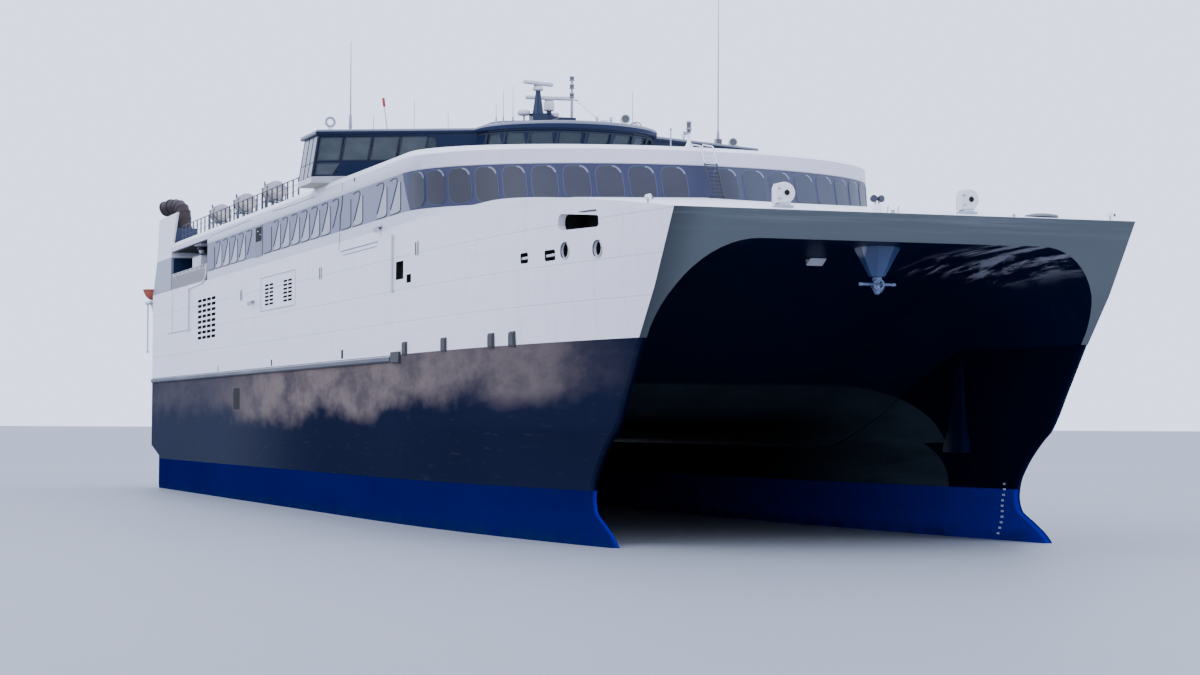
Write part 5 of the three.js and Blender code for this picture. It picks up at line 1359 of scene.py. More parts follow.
white_cabinet = (5.1, 5.5, 0.75, 1.3, PLINTH_TOP_Z - 0.02, 22.3)
radar_base.box(*service_box)
radar_base.box(*white_cabinet, instrument_white)
mushroom = [(0, 0.07), (0.45, 0.06), (0.48, 0.30), (0.56, 0.36), (0.68, 0.36), (0.76, 0.30), (0.80, 0.12)]
radar_base.turned(mushroom, (6.9, -1.20, PLINTH_TOP_Z - 0.02), 24, instrument_white)
piece("radar_pedestals", radar_base, replaces=["radar_mast"], bevel=0.02)

# Radar scanners: long closed arrays of white fibreglass on a turning hub, one above the other.
# Their ends are drawn in, and their section is a flat rounded one.
BAR_ENDS = ((-1, 0.55), (-0.985, 0.85), (-0.95, 1), (0.95, 1), (0.985, 0.85), (1, 0.55))
BAR_SECTION = [(0.14 * math.copysign(abs(a) ** 0.6, a), 0.11 * math.copysign(abs(b) ** 0.6, b))
               for a, b in circle(20, 1, 0.5)]
for body, x, y, z, length, turn, _ in SCANNERS:
    scanner = Shell(instrument_white)
    scanner.turned([(0, 0.22), (0.03, 0.24), (0.08, 0.24), (0.11, 0.16)], (x, y, z - 0.097), 24, mast_grey)
    across = Vector((math.cos(math.radians(turn)), math.sin(math.radians(turn)), 0))
    bar_way = Vector((-across.y, across.x, 0))
    rings = []
    for place, thick in BAR_ENDS:
        middle = Vector((x, y, z + 0.09)) + bar_way * (place * length / 2)
        rings.append([middle + across * (a * thick) + Vector((0, 0, b * thick)) for a, b in BAR_SECTION])
    scanner.loft(rings)
    node = body.replace("radar_", "radar_scanner_")
    piece(f"{body}_array", scanner, body=body, replaces=[node])

# Light mast: a slim grey pole with three all-round lights between discs, stayed by one wire to
# the roof.
light_mast = Shell(mast_grey)
MAST_X, MAST_Y = 8.3, 1.12
light_mast.rod((MAST_X, MAST_Y, PLINTH_TOP_Z + HAIR), (MAST_X, MAST_Y, 23.98), 0.085, 0.055, 12)
for z in (22.88, 23.36, 23.8):
    light_mast.turned([(0, 0.16), (0.04, 0.16)], (MAST_X, MAST_Y, z - 0.04), 16)
    light_mast.turned([(0, 0.11), (0.08, 0.13), (0.16, 0.11)], (MAST_X, MAST_Y, z), 16, lens_glass)
    light_mast.turned([(0, 0.15), (0.05, 0.12)], (MAST_X, MAST_Y, z + 0.16), 16)
light_mast.rod((MAST_X, MAST_Y - 0.35, 22.7), (MAST_X, MAST_Y + 0.35, 22.7), 0.03, sides=6)
light_mast.tube([(MAST_X, MAST_Y, 22.9), (8.9, 2.2, 21.8), (9.3, 2.9, 21.2)], 0.014, 5)
piece("light_mast_pole", light_mast, replaces=["light_mast"])

# Aerials and lamps on the roofs: whips on sprung bases, short posts, searchlights, a ring-shaped
# finder, a hoop rail, and a lamp box on each wing.
WHIP_X = 4.8
for side, y, top_z in (("port", 11.15, 30.0), ("starboard", -10.5, 25.8)):
    whip = Shell(mast_grey)
    profile = [(0, 0.12), (0.06, 0.12), (0.08, 0.08), (0.35, 0.075), (0.4, 0.1), (1.1, 0.07), (1.12, 0.045),
               (top_z - EAVES_Z - 0.01, 0.016)]
    whip.turned(profile, (WHIP_X, y, EAVES_Z + HAIR), 10)
    piece(f"whip_{side}", whip, replaces=[f"whip_aerial_{side}"])
roof_gear = Shell(mast_grey)
short_whips = [
    # x, y, foot, top
    (10.6, -3.9, 20.9, 22.0),
    (10.6, -3.5, 20.95, 22.8),
    (10.4, -2.9, 21.0, 23.05),
    (10.6, 3.85, 20.9, 23.1),
    (WHIP_X, -6.9, 20.65, 22.86),
    (WHIP_X, -4.95, 20.65, 22.1),
    (WHIP_X, -9.2, 20.65, 21.9),
]
for x, y, foot, top in short_whips:
    profile = [(0, 0.09), (0.05, 0.09), (0.07, 0.05), (0.4, 0.045), (0.42, 0.022), (top - foot, 0.012)]
    roof_gear.turned(profile, (x, y, foot - 0.05), 8)
LEAN_WAY = (0, -0.13, 1)
roof_gear.turned([(0, 0.05), (1.7, 0.04)], (WHIP_X, -8.38, 20.65), 8, instrument_white, LEAN_WAY)
signal_red = two_tone("signal_red", (0.30, 0.02, 0.02), (0.45, 0.04, 0.035), (0.2,), Roughness=0.4)
cap = [(0, 0.06), (0.05, 0.08), (0.45, 0.08), (0.5, 0.05)]
roof_gear.turned(cap, (WHIP_X, -8.60, 22.3), 12, signal_red, LEAN_WAY)
SEARCHLIGHT_WAY, DRUM = (1, -0.2, 0), [(0, 0.2), (0.05, 0.25), (0.4, 0.27), (0.42, 0.22)]
for x, y, z in ((11.6, 3.1, 20.85), (4.9, 12.05, 20.65)):
    roof_gear.rod((x, y, z - 0.1), (x, y, z + 0.35), 0.06, sides=10)
    roof_gear.turned(DRUM, (x - 0.2, y, z + 0.5), 20, instrument_white, SEARCHLIGHT_WAY)
    lens = (x + 0.215, y - 0.083, z + 0.5)
    roof_gear.turned([(0, 0.21), (0.01, 0.21)], lens, 20, lens_glass, SEARCHLIGHT_WAY)
for x, y in ((11.2, 1.6), (11.2, 2.4), (4.9, 9.0)):
    roof_gear.rod((x, y, 20.7), (x, y, 21.3), 0.05, sides=8)
    roof_gear.turned([(0, 0.09), (0.18, 0.09)], (x, y, 21.3), 12, instrument_white)
dish = [(0, 0.20), (0.08, 0.30), (0.2, 0.33), (0.3, 0.26)]
roof_gear.turned(dish, (11.3, 2.0, 20.95), 20, instrument_white, (1, -0.4, 0.3))
for x in (9.9, 10.4):
    hoop = [(x, 4.15 + 0.32 * math.cos(t), 20.75 + 0.62 * abs(math.sin(t)) ** 0.5) for t in fan(12)]
    roof_gear.tube(hoop, 0.035, 8)
FINDER_X, FINDER_Y = 5.2, -11.72
ring_path = [(FINDER_X, FINDER_Y + across, 21.27 + up) for across, up in circle(24, 0.24)]
finder_foot = [(0, 0.20), (0.12, 0.17), (0.32, 0.10)]
roof_gear.turned(finder_foot, (FINDER_X, FINDER_Y, EAVES_Z), 16, instrument_white)
roof_gear.tube([*ring_path, ring_path[0]], 0.07, 10)
for x, y in ((5.0, -8.0), (5.0, -9.0), (4.6, 10.35), (4.6, 12.2)):
    finish = lens_glass if y < 0 else mast_grey
    roof_gear.box(x - 0.2, x + 0.2, y - 0.18, y + 0.18, EAVES_Z, EAVES_Z + 0.35, finish)
whip_box = (4.62, 4.98, 10.98, 11.32, EAVES_Z, EAVES_Z + 0.66)
roof_gear.box(*whip_box, lens_glass)
piece("roof_aerials", roof_gear)

# Life rafts: white fibreglass canisters with ribbed halves and steel bands, three a side, each in
# a galvanised cradle of sloping bars with a short navy ladder at its after end.
RAFT_XS, RAFT_Y, RAFT_Z = (-32.6, -23.9, -14.6), 10.7, 19.2
canister_white = Finish("canister_white", Roughness=0.5)
canister_dirt = canister_white.noise(0.6, (1, 1, 0.5), 6)
canister_cream = canister_white.mix(canister_dirt, (0.38, 0.34, 0.27), (0.62, 0.58, 0.50))
canister_pink = canister_white.mix(canister_dirt, (0.24, 0.20, 0.24), (0.44, 0.39, 0.43))
upper_half = canister_white.z.rise(RAFT_Z, RAFT_Z + 0.12)
canister_white.coat(
    Base_Color=canister_white.mix(upper_half, canister_cream, canister_pink),
    Normal=canister_white.relief(canister_dirt, 0.01),
)
canister = [(0, 0.30), (0.06, 0.46), (0.16, 0.53)]
for start in (0.22 + rib * 0.33 for rib in range(6)):
    canister += [(start, 0.53), (start + 0.03, 0.57), (start + 0.2, 0.57), (start + 0.23, 0.53)]
canister += [(2.2, 0.46), (2.3, 0.30)]
CRADLE_Z, LADDER_LOW_Z = RAFT_Z - 0.62, ROOF_Z + 0.12
for side, sign in BOTH_SIDES:
    rafts = Shell(canister_white)
    y = sign * RAFT_Y
    for x in RAFT_XS:
        rafts.turned(canister, (x - 1.15, y, RAFT_Z), 28, axis=(1, 0, 0))
        for band in (-0.62, 0.62):
            strap = (x + band - 0.04, y, RAFT_Z)
            rafts.turned([(0, 0.59), (0.08, 0.59)], strap, 28, galvanised, (1, 0, 0))
        for frame_x in (x - 0.7, x + 0.7):
            bars = [
                # start, end, radius
                ((frame_x, y - 0.56, ROOF_Z + HAIR), (frame_x, y - 0.60, RAFT_Z + 0.25), 0.05),
                ((frame_x, y + 0.56, ROOF_Z + HAIR), (frame_x, y + 0.60, RAFT_Z + 0.25), 0.05),
                ((frame_x, y - 0.6, CRADLE_Z), (frame_x, y + 0.6, CRADLE_Z), 0.05),
                ((frame_x, y - 0.56, ROOF_Z + 0.1), (frame_x, y + 0.6, CRADLE_Z), 0.035),
            ]
            for start, end, radius in bars:
                rafts.rod(start, end, radius, sides=8, finish=galvanised)
        for post_y in (y - 0.25, y + 0.25):
            foot, head = (x - 1.3, post_y, LADDER_LOW_Z), (x - 1.65, post_y, RAFT_Z + 0.72)
            rafts.rod(foot, head, 0.05, sides=8, finish=mast_dark)
        for step in (0.3, 0.6, 0.9):
            at_x, at_z = x - 1.3 - 0.35 * step, LADDER_LOW_Z + (RAFT_Z + 0.6 - ROOF_Z) * step
            rafts.rod((at_x, y - 0.25, at_z), (at_x, y + 0.25, at_z), 0.035, sides=6, finish=mast_dark)
        rafts.box(x - 1.4, x + 1.0, y - 0.45, y + 0.45, ROOF_Z + HAIR, ROOF_Z + 0.14, mast_dark)
    piece(f"life_rafts_{side}", rafts, replaces=[f"life_raft_rack_{side}"])

# Roof rails: navy stanchions with a top rail and two thin wires along each side of the roof.
# Bolted tubes and stretched wire.
RAIL_AFT_X, RAIL_FRONT_X, RAIL_Y, RAIL_POSTS = -43.4, -4, 11.45, 27
for side, sign in BOTH_SIDES:
    y = sign * RAIL_Y
    post = Shell(mast_dark)
    profile = [(0, 0.09), (0.03, 0.09), (0.04, 0.05), (1.1, 0.045), (1.12, 0.03)]
    post.turned(profile, (RAIL_AFT_X, y, ROOF_Z + HAIR), 10)
    posts = repeated(post, RAIL_POSTS, ((RAIL_FRONT_X - RAIL_AFT_X) / (RAIL_POSTS - 1), 0, 0))
    piece(f"rail_posts_{side}", posts, replaces=[f"roof_rail_{side}"])
    for name, radius, heights in (("rail_bar", 0.032, (1.1,)), ("rail_wires", 0.012, (0.38, 0.75))):
        runs = [[(RAIL_AFT_X, y, ROOF_Z + h), (RAIL_FRONT_X, y, ROOF_Z + h)] for h in heights]
        made = grown(paths_mesh(runs), bead_tree, Radius=radius * SHIP, Finish=mast_dark.material)
        piece(f"{name}_{side}", made)

# Exhaust elbows: lagged steel uptakes that stand on the casings and turn aft and outboard over the
# fins in mitred bands, with a drooping hood at the open end. Burnt brown sheet.
burnt_steel = Finish("burnt_steel", Metallic=0.15)
burnt = burnt_steel.noise(0.8, (1, 1, 0.7), 7, 0.65)
scorched = burnt_steel.z.rise(20.6, 21.2) * burnt.rise(0.35, 0.6) * 0.45
burnt_colour = burnt_steel.mix(burnt, (0.016, 0.008, 0.008), (0.033, 0.019, 0.020))
burnt_steel.coat(
    Base_Color=burnt_steel.mix(scorched, burnt_colour, (0.10, 0.085, 0.10)),
    Roughness=burnt * 0.3 + 0.5,
    Normal=burnt_steel.relief(burnt, 0.03),
)
soot = two_tone("soot", (0.004, 0.004, 0.004), (0.016, 0.014, 0.013), (0.3,), Roughness=0.9)
ELBOW_X, ELBOW_Y, OUTBOARD = -46.1, 10.9, math.radians(30)
uptake_rows = [
    # distance along the heading, height, tilt from upright in degrees, half width of the band
    # round the pipe there, its radius, its shift along the pipe
    (0.0, 19.103, 0, 0.08, 0.62, 0.08),
    (0.0, 19.87, 0, 0.03, 0.575, 0),
    (0.067, 20.207, 22.5, 0.03, 0.575, 0),
    (0.258, 20.492, 45, 0.03, 0.575, 0),
    (0.543, 20.683, 67.5, 0.03, 0.575, 0),
    (0.88, 20.75, 90, 0.03, 0.575, 0),
    (1.43, 20.75, 98, 0.07, 0.60, 0),
    (2.12, 20.64, 106, 0.05, 0.585, -0.05),
]


def uptake_ring(sign, row, radius, shift=0.0):
    """A round of the uptake; shift moves it along the pipe."""
    along_it, height, tilt = row[0], row[1], math.radians(row[2])
    heading = Vector((-math.cos(OUTBOARD), sign * math.sin(OUTBOARD), 0))
    onward = heading * math.sin(tilt) + Vector((0, 0, math.cos(tilt)))
    over = Vector((0, 0, math.sin(tilt))) - heading * math.cos(tilt)
    across = heading.cross(Vector((0, 0, 1)))
    middle = Vector((ELBOW_X, sign * ELBOW_Y, height)) + heading * along_it + onward * shift
    return [middle + across * a + over * b for a, b in circle(28, radius)]


for side, sign in BOTH_SIDES:
    uptake = Shell(burnt_steel)
    pipe = [uptake_ring(sign, row, 0.55) for row in uptake_rows]
    mouth = uptake_ring(sign, uptake_rows[-1], 0.49)
    throat = uptake_ring(sign, uptake_rows[-1], 0.47, -0.7)
    uptake.loft([*pipe, mouth], ends=False)
    uptake.add(pipe[0], [range(28)])
    uptake.loft([mouth, throat], soot, ends=False)
    uptake.add(throat, [range(28)], soot)
    for row in uptake_rows:
        half, proud, lift = row[3:]
        edges = [(proud, -half), (proud, half), (0.53, half), (0.53, -half), (proud, -half)]
        uptake.loft([uptake_ring(sign, row, radius, shift + lift) for radius, shift in edges], ends=False)
    piece(f"exhaust_uptake_{side}", uptake, replaces=[f"exhaust_elbow_{side}"], sharp=15)

# Foremast: a white lamp post with a flared foot at the front edge of the roof, with two dark
# lanterns at its head and a thin aerial post beside it. Spun and welded aluminium.
FOREMAST_X, FOREMAST_Y = 28.6, 0.27
foremast = Shell(rim_paint)
flare = [(0, 0.26), (0.03, 0.24), (0.10, 0.17), (0.20, 0.115), (0.34, 0.08), (0.70, 0.06)]
foremast.turned(flare, (FOREMAST_X, FOREMAST_Y, ROOF_Z + HAIR))
lantern = [
    # height over the roof, radius, finish from there upwards
    (0.70, 0.13, mast_grey),
    (0.74, 0.10, lens_glass),
    (0.86, 0.10, lens_glass),
    (0.88, 0.14, mast_grey),
    (0.94, 0.15, mast_grey),
    (0.96, 0.11, lens_glass),
    (1.18, 0.11, lens_glass),
    (1.20, 0.15, mast_grey),
    (1.28, 0.10, mast_grey),
]
for (low, r0, finish), (high, r1, _) in zip(lantern, lantern[1:]):
    foremast.turned([(0, r0), (high - low, r1)], (FOREMAST_X, FOREMAST_Y, ROOF_Z + low), 20, finish)
foremast.block((FOREMAST_X, FOREMAST_Y - 0.19, ROOF_Z + 0.70), 0.06, 0.09, 0.08, mast_grey)
aerial_post = [(0, 0.16), (0.12, 0.16), (0.14, 0.035), (1.0, 0.03), (1.02, 0.06), (1.1, 0.05)]
foremast.turned(aerial_post, (27.0, -0.05, ROOF_Z), 10, mast_grey)
piece("foremast_light", foremast, replaces=["foremast"])

# Front ladder: a welded ladder from the foredeck over the windows to the roof, navy below the
# fascia and pale above it. Its sides bend over the roof's rim and hook down on it.
ladder_paint = Finish("ladder_paint", Roughness=0.4)
ladder_shade = ladder_paint.noise(0.3)
ladder_navy = ladder_paint.mix(ladder_shade, (0.004, 0.006, 0.018), (0.009, 0.013, 0.034))
ladder_top = ladder_paint.z.rise(16.98, 17.04)
ladder_paint.coat(Base_Color=ladder_paint.mix(ladder_top, ladder_navy, (0.66, 0.67, 0.71)))
LADDER_Y, LADDER_HALF, LADDER_R, LADDER_FOOT_X = 0.34, 0.3, 0.036, 32.2
ladder_foot = Vector((LADDER_FOOT_X, 0, deck_z(LADDER_FOOT_X, 0) + HAIR))
ladder_head = Vector((30.84, 0, 17.72))
ladder = Shell(ladder_paint)
for sign in (1, -1):
    side_y = LADDER_Y + sign * LADDER_HALF
    path = [ladder_foot, ladder_foot + Vector((0, 0, 0.1)), ladder_head]
    path += [ladder_head + Vector((-0.05, 0, 0.09)), ladder_head + Vector((-0.2, 0, 0.14))]
    path += [Vector(point) for point in ((29.5, 0, 18.05), (29.42, 0, 18.0), (29.4, 0, 17.86))]
    ladder.tube([point + Vector((0, side_y, 0)) for point in path], LADDER_R, 10)
    ladder.block((LADDER_FOOT_X, side_y, ladder_foot.z + 0.015), 0.1, 0.07, 0.015)
for i in range(11):
    step = ladder_foot.lerp(ladder_head, (i + 0.5) / 12.6)
    ends = [(step.x, LADDER_Y + reach, step.z) for reach in (-LADDER_HALF, LADDER_HALF)]
    ladder.rod(*ends, 0.03, sides=8)
piece("ladder_to_roof", ladder, replaces=["front_ladder"])

# Fog horns: a white fibreglass housing on each side of the foredeck, a square case joined to a
# round drum with the sound opening at its middle, and a latch and handle on the case.
horn_white = two_tone("horn_white", (0.55, 0.55, 0.56), (0.70, 0.70, 0.72), (0.3, (1, 1, 0.5), 6),
                      depth=0.004, Roughness=0.4)
HORN_X, HORN_Y, DRUM_R = 50.0, 3.98, 0.42
horn_rows = [
    # place along the ship, share of the full outline
    (49.78, 0.92),
    (49.84, 1),
    (50.20, 1),
    (50.27, 0.95),
    (50.30, 0.86),
    (50.30, 0.4),
]
for side, sign in BOTH_SIDES:
    y = sign * HORN_Y
    foot_z = deck_z(HORN_X, HORN_Y / outer_y(HORN_X, BOW_X))
    axle_z = foot_z + 0.56
    outline = [(DRUM_R * math.sin(t), -DRUM_R * math.cos(t)) for t in fan(20)]
    outline += [(-0.06, DRUM_R), (-0.32, 0.36), (-0.40, 0.18), (-0.40, -0.42)]
    rings = [[(x, y + across * share, axle_z + up * share) for across, up in outline]
             for x, share in horn_rows]
    horn = Shell(horn_white)
    horn.loft(rings, ends=False)
    horn.add(rings[0], [range(len(outline))])
    horn.add(rings[-1], [range(len(outline))])
    opening = (50.28, y + 0.04, axle_z)
    lip = [(0, 0.17), (0.03, 0.16), (0.04, 0.12)]
    horn.turned(lip, opening, 24, fitting_paint, (1, 0, 0))
    # The dark disc inside the sound opening is painted shade.
    hole = [(y + 0.04 + across, axle_z + up) for across, up in circle(24, 0.11)]
    horn.loft([[(x, py, pz) for py, pz in hole] for x in (50.30, 50.335)], dark_paint_and_shade)
    latch = (50.28, 50.34, y - 0.34, y - 0.22, axle_z + 0.12, axle_z + 0.18)
    horn.box(*latch, mast_grey)
    handle = ((50.29, -0.34, -0.28), (50.34, -0.30, -0.24), (50.34, -0.2, -0.22), (50.29, -0.16, -0.22))
    horn.tube([(x, y + across, axle_z + up) for x, across, up in handle], 0.018, 6, mast_grey)
    horn.box(49.78, 50.22, y - 0.24, y + 0.24, foot_z + 0.02, axle_z - 0.36)
    horn.block((HORN_X, y, foot_z + 0.03), 0.28, 0.34, 0.05, belting_metal)
    piece(f"fog_horn_{side}", horn, replaces=[f"horn_unit_{side}"])

# Foredeck fittings: a pair of floodlights on a round foot, two bent posts on a small box, a low
# round hatch, two deck edge lamps on posts, and a stud. They are bolted or welded to the plating.
foredeck = Shell(mast_grey)


def on_deck(x, y):
    return (x, y, deck_z(x, abs(y) / outer_y(x, BOW_X)))


FLOOD_X = 52.4
flood_foot = Vector(on_deck(FLOOD_X, -1.1))
flood_z = flood_foot.z
floor_flange = [(0, 0.20), (0.12, 0.20), (0.3, 0.16), (0.34, 0.10)]
foredeck.turned(floor_flange, flood_foot - Vector((0, 0, 0.02)), 20, rim_paint)
flood_lamp = [(0, 0.08), (0.05, 0.13), (0.2, 0.14), (0.22, 0.11)]
for y, turn in ((-1.2, -0.1), (-0.94, 0.25)):
    arm_ends = (FLOOD_X, y * 0.4 - 0.65, flood_z + 0.3), (FLOOD_X, y, flood_z + 0.5)
    foredeck.rod(*arm_ends, 0.04, sides=8)
    foredeck.turned(flood_lamp, (FLOOD_X - 0.15, y, flood_z + 0.5), 16, mast_dark, (1, turn, 0.1))
for y in (-0.72, -0.28):
    bent_post = ((0, -0.05), (0, 0.16), (0.04, 0.24))
    foredeck.tube([(52.6, y + across, flood_z + up) for across, up in bent_post], 0.02, 8)
foredeck.box(52.55, 52.65, -0.56, -0.44, flood_z - 0.03, flood_z + 0.08)
hatch_seat = Vector(on_deck(51.5, 6.5)) - Vector((0, 0, 0.02))
foredeck.turned([(0, 0.66), (0.05, 0.68), (0.09, 0.64), (0.15, 0.30)], hatch_seat, 28, deck_coating)
edge_lamp = [(0, 0.05), (0.04, 0.10), (0.22, 0.11), (0.24, 0.07)]
for x, y in ((51.2, -10.0), (52.7, 8.9)):
    z = on_deck(x, y)[2]
    foredeck.rod((x, y, z - 0.05), (x, y, z + 0.14), 0.035, sides=8)
    foredeck.turned(edge_lamp, (x - 0.1, y - 0.06, z + 0.22), 16, rim_paint, (1, 0.6, 0.1))
    foredeck.turned([(0, 0.06), (0.03, 0.06)], (x + 0.05, y + 0.16, z + 0.20), 12, lens_glass, (0, 1, 0))
foredeck.turned([(0, 0.05), (0.03, 0.07), (0.10, 0.05)], on_deck(52.5, 4.75), 12)
piece("foredeck_fittings", foredeck)

# Anchor: a small stocked anchor hauled up under its hawse cone in the vault of the bow mouth.
# The cone is rolled in flat strakes and painted blue, with a pale painted highlight on its starboard
# strakes; the anchor is forged and painted blue-grey.
hawse_blue = Finish("hawse_blue", Specular_IOR_Level=0.5)
hawse_shade = hawse_blue.noise(0.7, (1, 1, 0.6), 4)
# The starboard strakes are painted pale as a highlight.
hawse_lit_strake = hawse_blue.y.rise(-0.62, -0.74)
hawse_colour = hawse_blue.mix(hawse_shade, (0.024, 0.046, 0.120), (0.050, 0.088, 0.200))
hawse_blue.coat(
    Base_Color=hawse_blue.mix(hawse_lit_strake, hawse_colour, (0.30, 0.32, 0.38)),
    Roughness=hawse_shade * 0.2 + 0.3,
)
anchor_steel = two_tone("anchor_steel", (0.070, 0.105, 0.22), (0.20, 0.25, 0.38), (0.2, (1, 1, 1), 6),
                        (0.3, 0.35), Metallic=0.2)
ANCHOR_X, ANCHOR_Z, STOCK_HALF, HAWSE_Z = 50.1, 10.42, 0.8, 10.72
anchor = Shell(anchor_steel)


def hawse(rows, finish):
    """The eight-sided hawse cone or its hole, from rows of height and radius; its top is shut."""
    rings = [[(ANCHOR_X + ahead_x, y, HAWSE_Z + up) for ahead_x, y in circle(8, radius, 0.5)]
             for up, radius in rows]
    anchor.loft(rings, finish, ends=False).add(rings[-1], [range(8)], finish)


hawse(((0.0, 0.27), (0.0, 0.31), (1.05, 0.88), (1.37, 0.88)), hawse_blue)
# The dark lining in the cone's mouth is painted shade.
hawse(((0.0, 0.27), (0.32, 0.25)), dark_paint_and_shade)
anchor.rod((ANCHOR_X, 0, ANCHOR_Z), (ANCHOR_X, 0, ANCHOR_Z + 0.6), 0.09, 0.07, 12)
head = [(0, 0.05), (0.03, 0.13), (0.12, 0.19), (0.24, 0.20), (0.32, 0.14), (0.36, 0.06)]
anchor.turned(head, (ANCHOR_X, 0, ANCHOR_Z + 0.02), 20)
crown = [(0, 0.06), (0.05, 0.12), (0.2, 0.17), (0.36, 0.14)]
anchor.turned(crown, (ANCHOR_X, 0, ANCHOR_Z - 0.4), 16)
eye = [(ANCHOR_X + 0.17, across, ANCHOR_Z - 0.02 + up) for across, up in circle(24, 0.20)]
anchor.tube([*eye, eye[0]], 0.045, 10)
anchor.rod((ANCHOR_X, -STOCK_HALF, ANCHOR_Z), (ANCHOR_X, STOCK_HALF, ANCHOR_Z), 0.055, sides=12)
stock_cap = [(0, 0.05), (0.02, 0.07), (0.16, 0.07), (0.18, 0.05)]
for sign in (1, -1):
    cap_start = (ANCHOR_X, sign * (STOCK_HALF - 0.18), ANCHOR_Z)
    anchor.turned(stock_cap, cap_start, 12, axis=(0, sign, 0))
    for lean in (0.16, 0.30):
        root = ((0.05, 0.05, -0.36), (0.12, 0.10, -0.34), (0.12, 0.16, -0.30))
        tip = ((0.08, lean, -0.12), (0.15, lean, -0.10), (0.10, lean + 0.04, -0.06))
        anchor.loft([[(ANCHOR_X + ahead_x, sign * y, ANCHOR_Z + up) for ahead_x, y, up in ring]
                     for ring in (root, tip)])
piece("anchor_and_hawse", anchor, replaces=["anchor"])
# A small pale plate stands on the vault aft of the cone
PLATE_OUTLINE = [(46.6, 11.32), (47.05, 11.60), (46.5, 11.56)]
access_plate = Shell(fitting_paint).slab(PLATE_OUTLINE, -1.5, -0.8)
piece("vault_plate", access_plate, bevel=0.01)

# Stern ramp: a welded aluminium ramp that closes the vehicle deck, stiffened by ribs on its outer
# side, with wheel bars on its inner side, and hung on two pins.
RAMP_HALF, RAMP_LOW_Z, RAMP_HIGH_Z, RAMP_INNER_X, RAMP_OUTER_X = 4.0, 8.3, 13.6, -53.70, -54.05
RIB_COUNT, RIB_WIDE, BEAM_COUNT, BEAM_HIGH = 12, 0.12, 6, 0.14
ramp_rib = Shell(fitting_paint)
rib_y = (-RAMP_HALF, -RAMP_HALF + RIB_WIDE)
ramp_rib.box(RAMP_OUTER_X, RAMP_INNER_X - 0.1, *rib_y, RAMP_LOW_Z, RAMP_HIGH_Z)
upright_ribs = repeated(ramp_rib, RIB_COUNT, (0, (2 * RAMP_HALF - RIB_WIDE) / (RIB_COUNT - 1), 0))
ramp_beam = Shell(fitting_paint)
beam_z = (RAMP_LOW_Z, RAMP_LOW_Z + BEAM_HIGH)
ramp_beam.box(RAMP_OUTER_X + 0.04, RAMP_INNER_X - 0.1, -RAMP_HALF, RAMP_HALF, *beam_z)
beam_step = (RAMP_HIGH_Z - RAMP_LOW_Z - BEAM_HIGH) / (BEAM_COUNT - 1)
piece("ramp_ribs", upright_ribs, body="ramp")
piece("ramp_beams", repeated(ramp_beam, BEAM_COUNT, (0, 0, beam_step)), body="ramp")
ramp = Shell(topside_paint)
ramp.box(RAMP_INNER_X - 0.12, RAMP_INNER_X - 0.02, -RAMP_HALF, RAMP_HALF, RAMP_LOW_Z, RAMP_HIGH_Z)
for i in range(14):
    z = RAMP_LOW_Z + 0.4 + i * 0.36
    ramp.box(RAMP_INNER_X - 0.03, RAMP_INNER_X, -RAMP_HALF + 0.3, RAMP_HALF - 0.3, z, z + 0.05, deck_coating)
PIN_X, PIN_Z = -53.875, 8.4
for sign in (1, -1):
    pin_ends = [(PIN_X, sign * (RAMP_HALF + reach), PIN_Z) for reach in (-0.1, 0.14)]
    ramp.rod(*pin_ends, 0.13, sides=20, finish=galvanised)
    ramp.block((-53.97, sign * 3.3, 13.1), 0.07, 0.15, 0.2, galvanised)
piece("ramp_plate", ramp, body="ramp", replaces=["stern_ramp"], bevel=0.012)

# Waterjets: on each transom two pump housings with bolted flanges, each with a ball-mounted
# steering nozzle and a reversing bucket over it. Cast and machined stainless steel and bronze.
cast_metal = two_tone("cast_metal", (0.16, 0.15, 0.13), (0.38, 0.37, 0.34), (0.5, (1, 1, 1), 7, 0.6),
                      (0.35, 0.3), (0.05,), 0.006, Metallic=0.55)
JET_YS, JET_Z, PIVOT_X, TRANSOM_X = (("inner", 8.52), ("outer", 10.62)), 0.1, -51.45, -50
BALL_R, BUCKET_X, BUCKET_HALF, BUCKET_REACH = 0.7, -52.30, 0.76, 0.95
BELL = [(0, 0.99), (0.10, 0.99), (0.11, 0.93), (0.30, 0.90), (0.48, 0.85), (0.56, 0.83), (0.57, 0.87),
        (0.687, 0.87), (0.687, 0.78), (0.60, 0.76)]
NOZZLE = [(BALL_R * (1 - math.cos(t)), BALL_R * math.sin(t)) for t in fan(10, math.pi / 2)]
NOZZLE += [(0.95, 0.66), (1.9, 0.52), (1.91, 0.54), (2.03, 0.54), (2.05, 0.52), (2.05, 0.43),
           (1.62, 0.42), (1.62, 0)]
CHEEK = [(-0.15, -0.13), (-0.11, -0.15), (0.11, -0.15), (0.15, -0.13), (0.25, BUCKET_REACH - 0.02),
         (-0.75, BUCKET_REACH - 0.02)]
HOOD = [(-0.75, 0.95), (-0.82, 0.82), (-0.85, 0.65), (-0.95, 0.67), (-0.935, 0.86), (-0.85, 1.0),
        (-0.72, 1.06), (0.22, 1.07), (0.25, 1.04), (0.25, 0.95)]


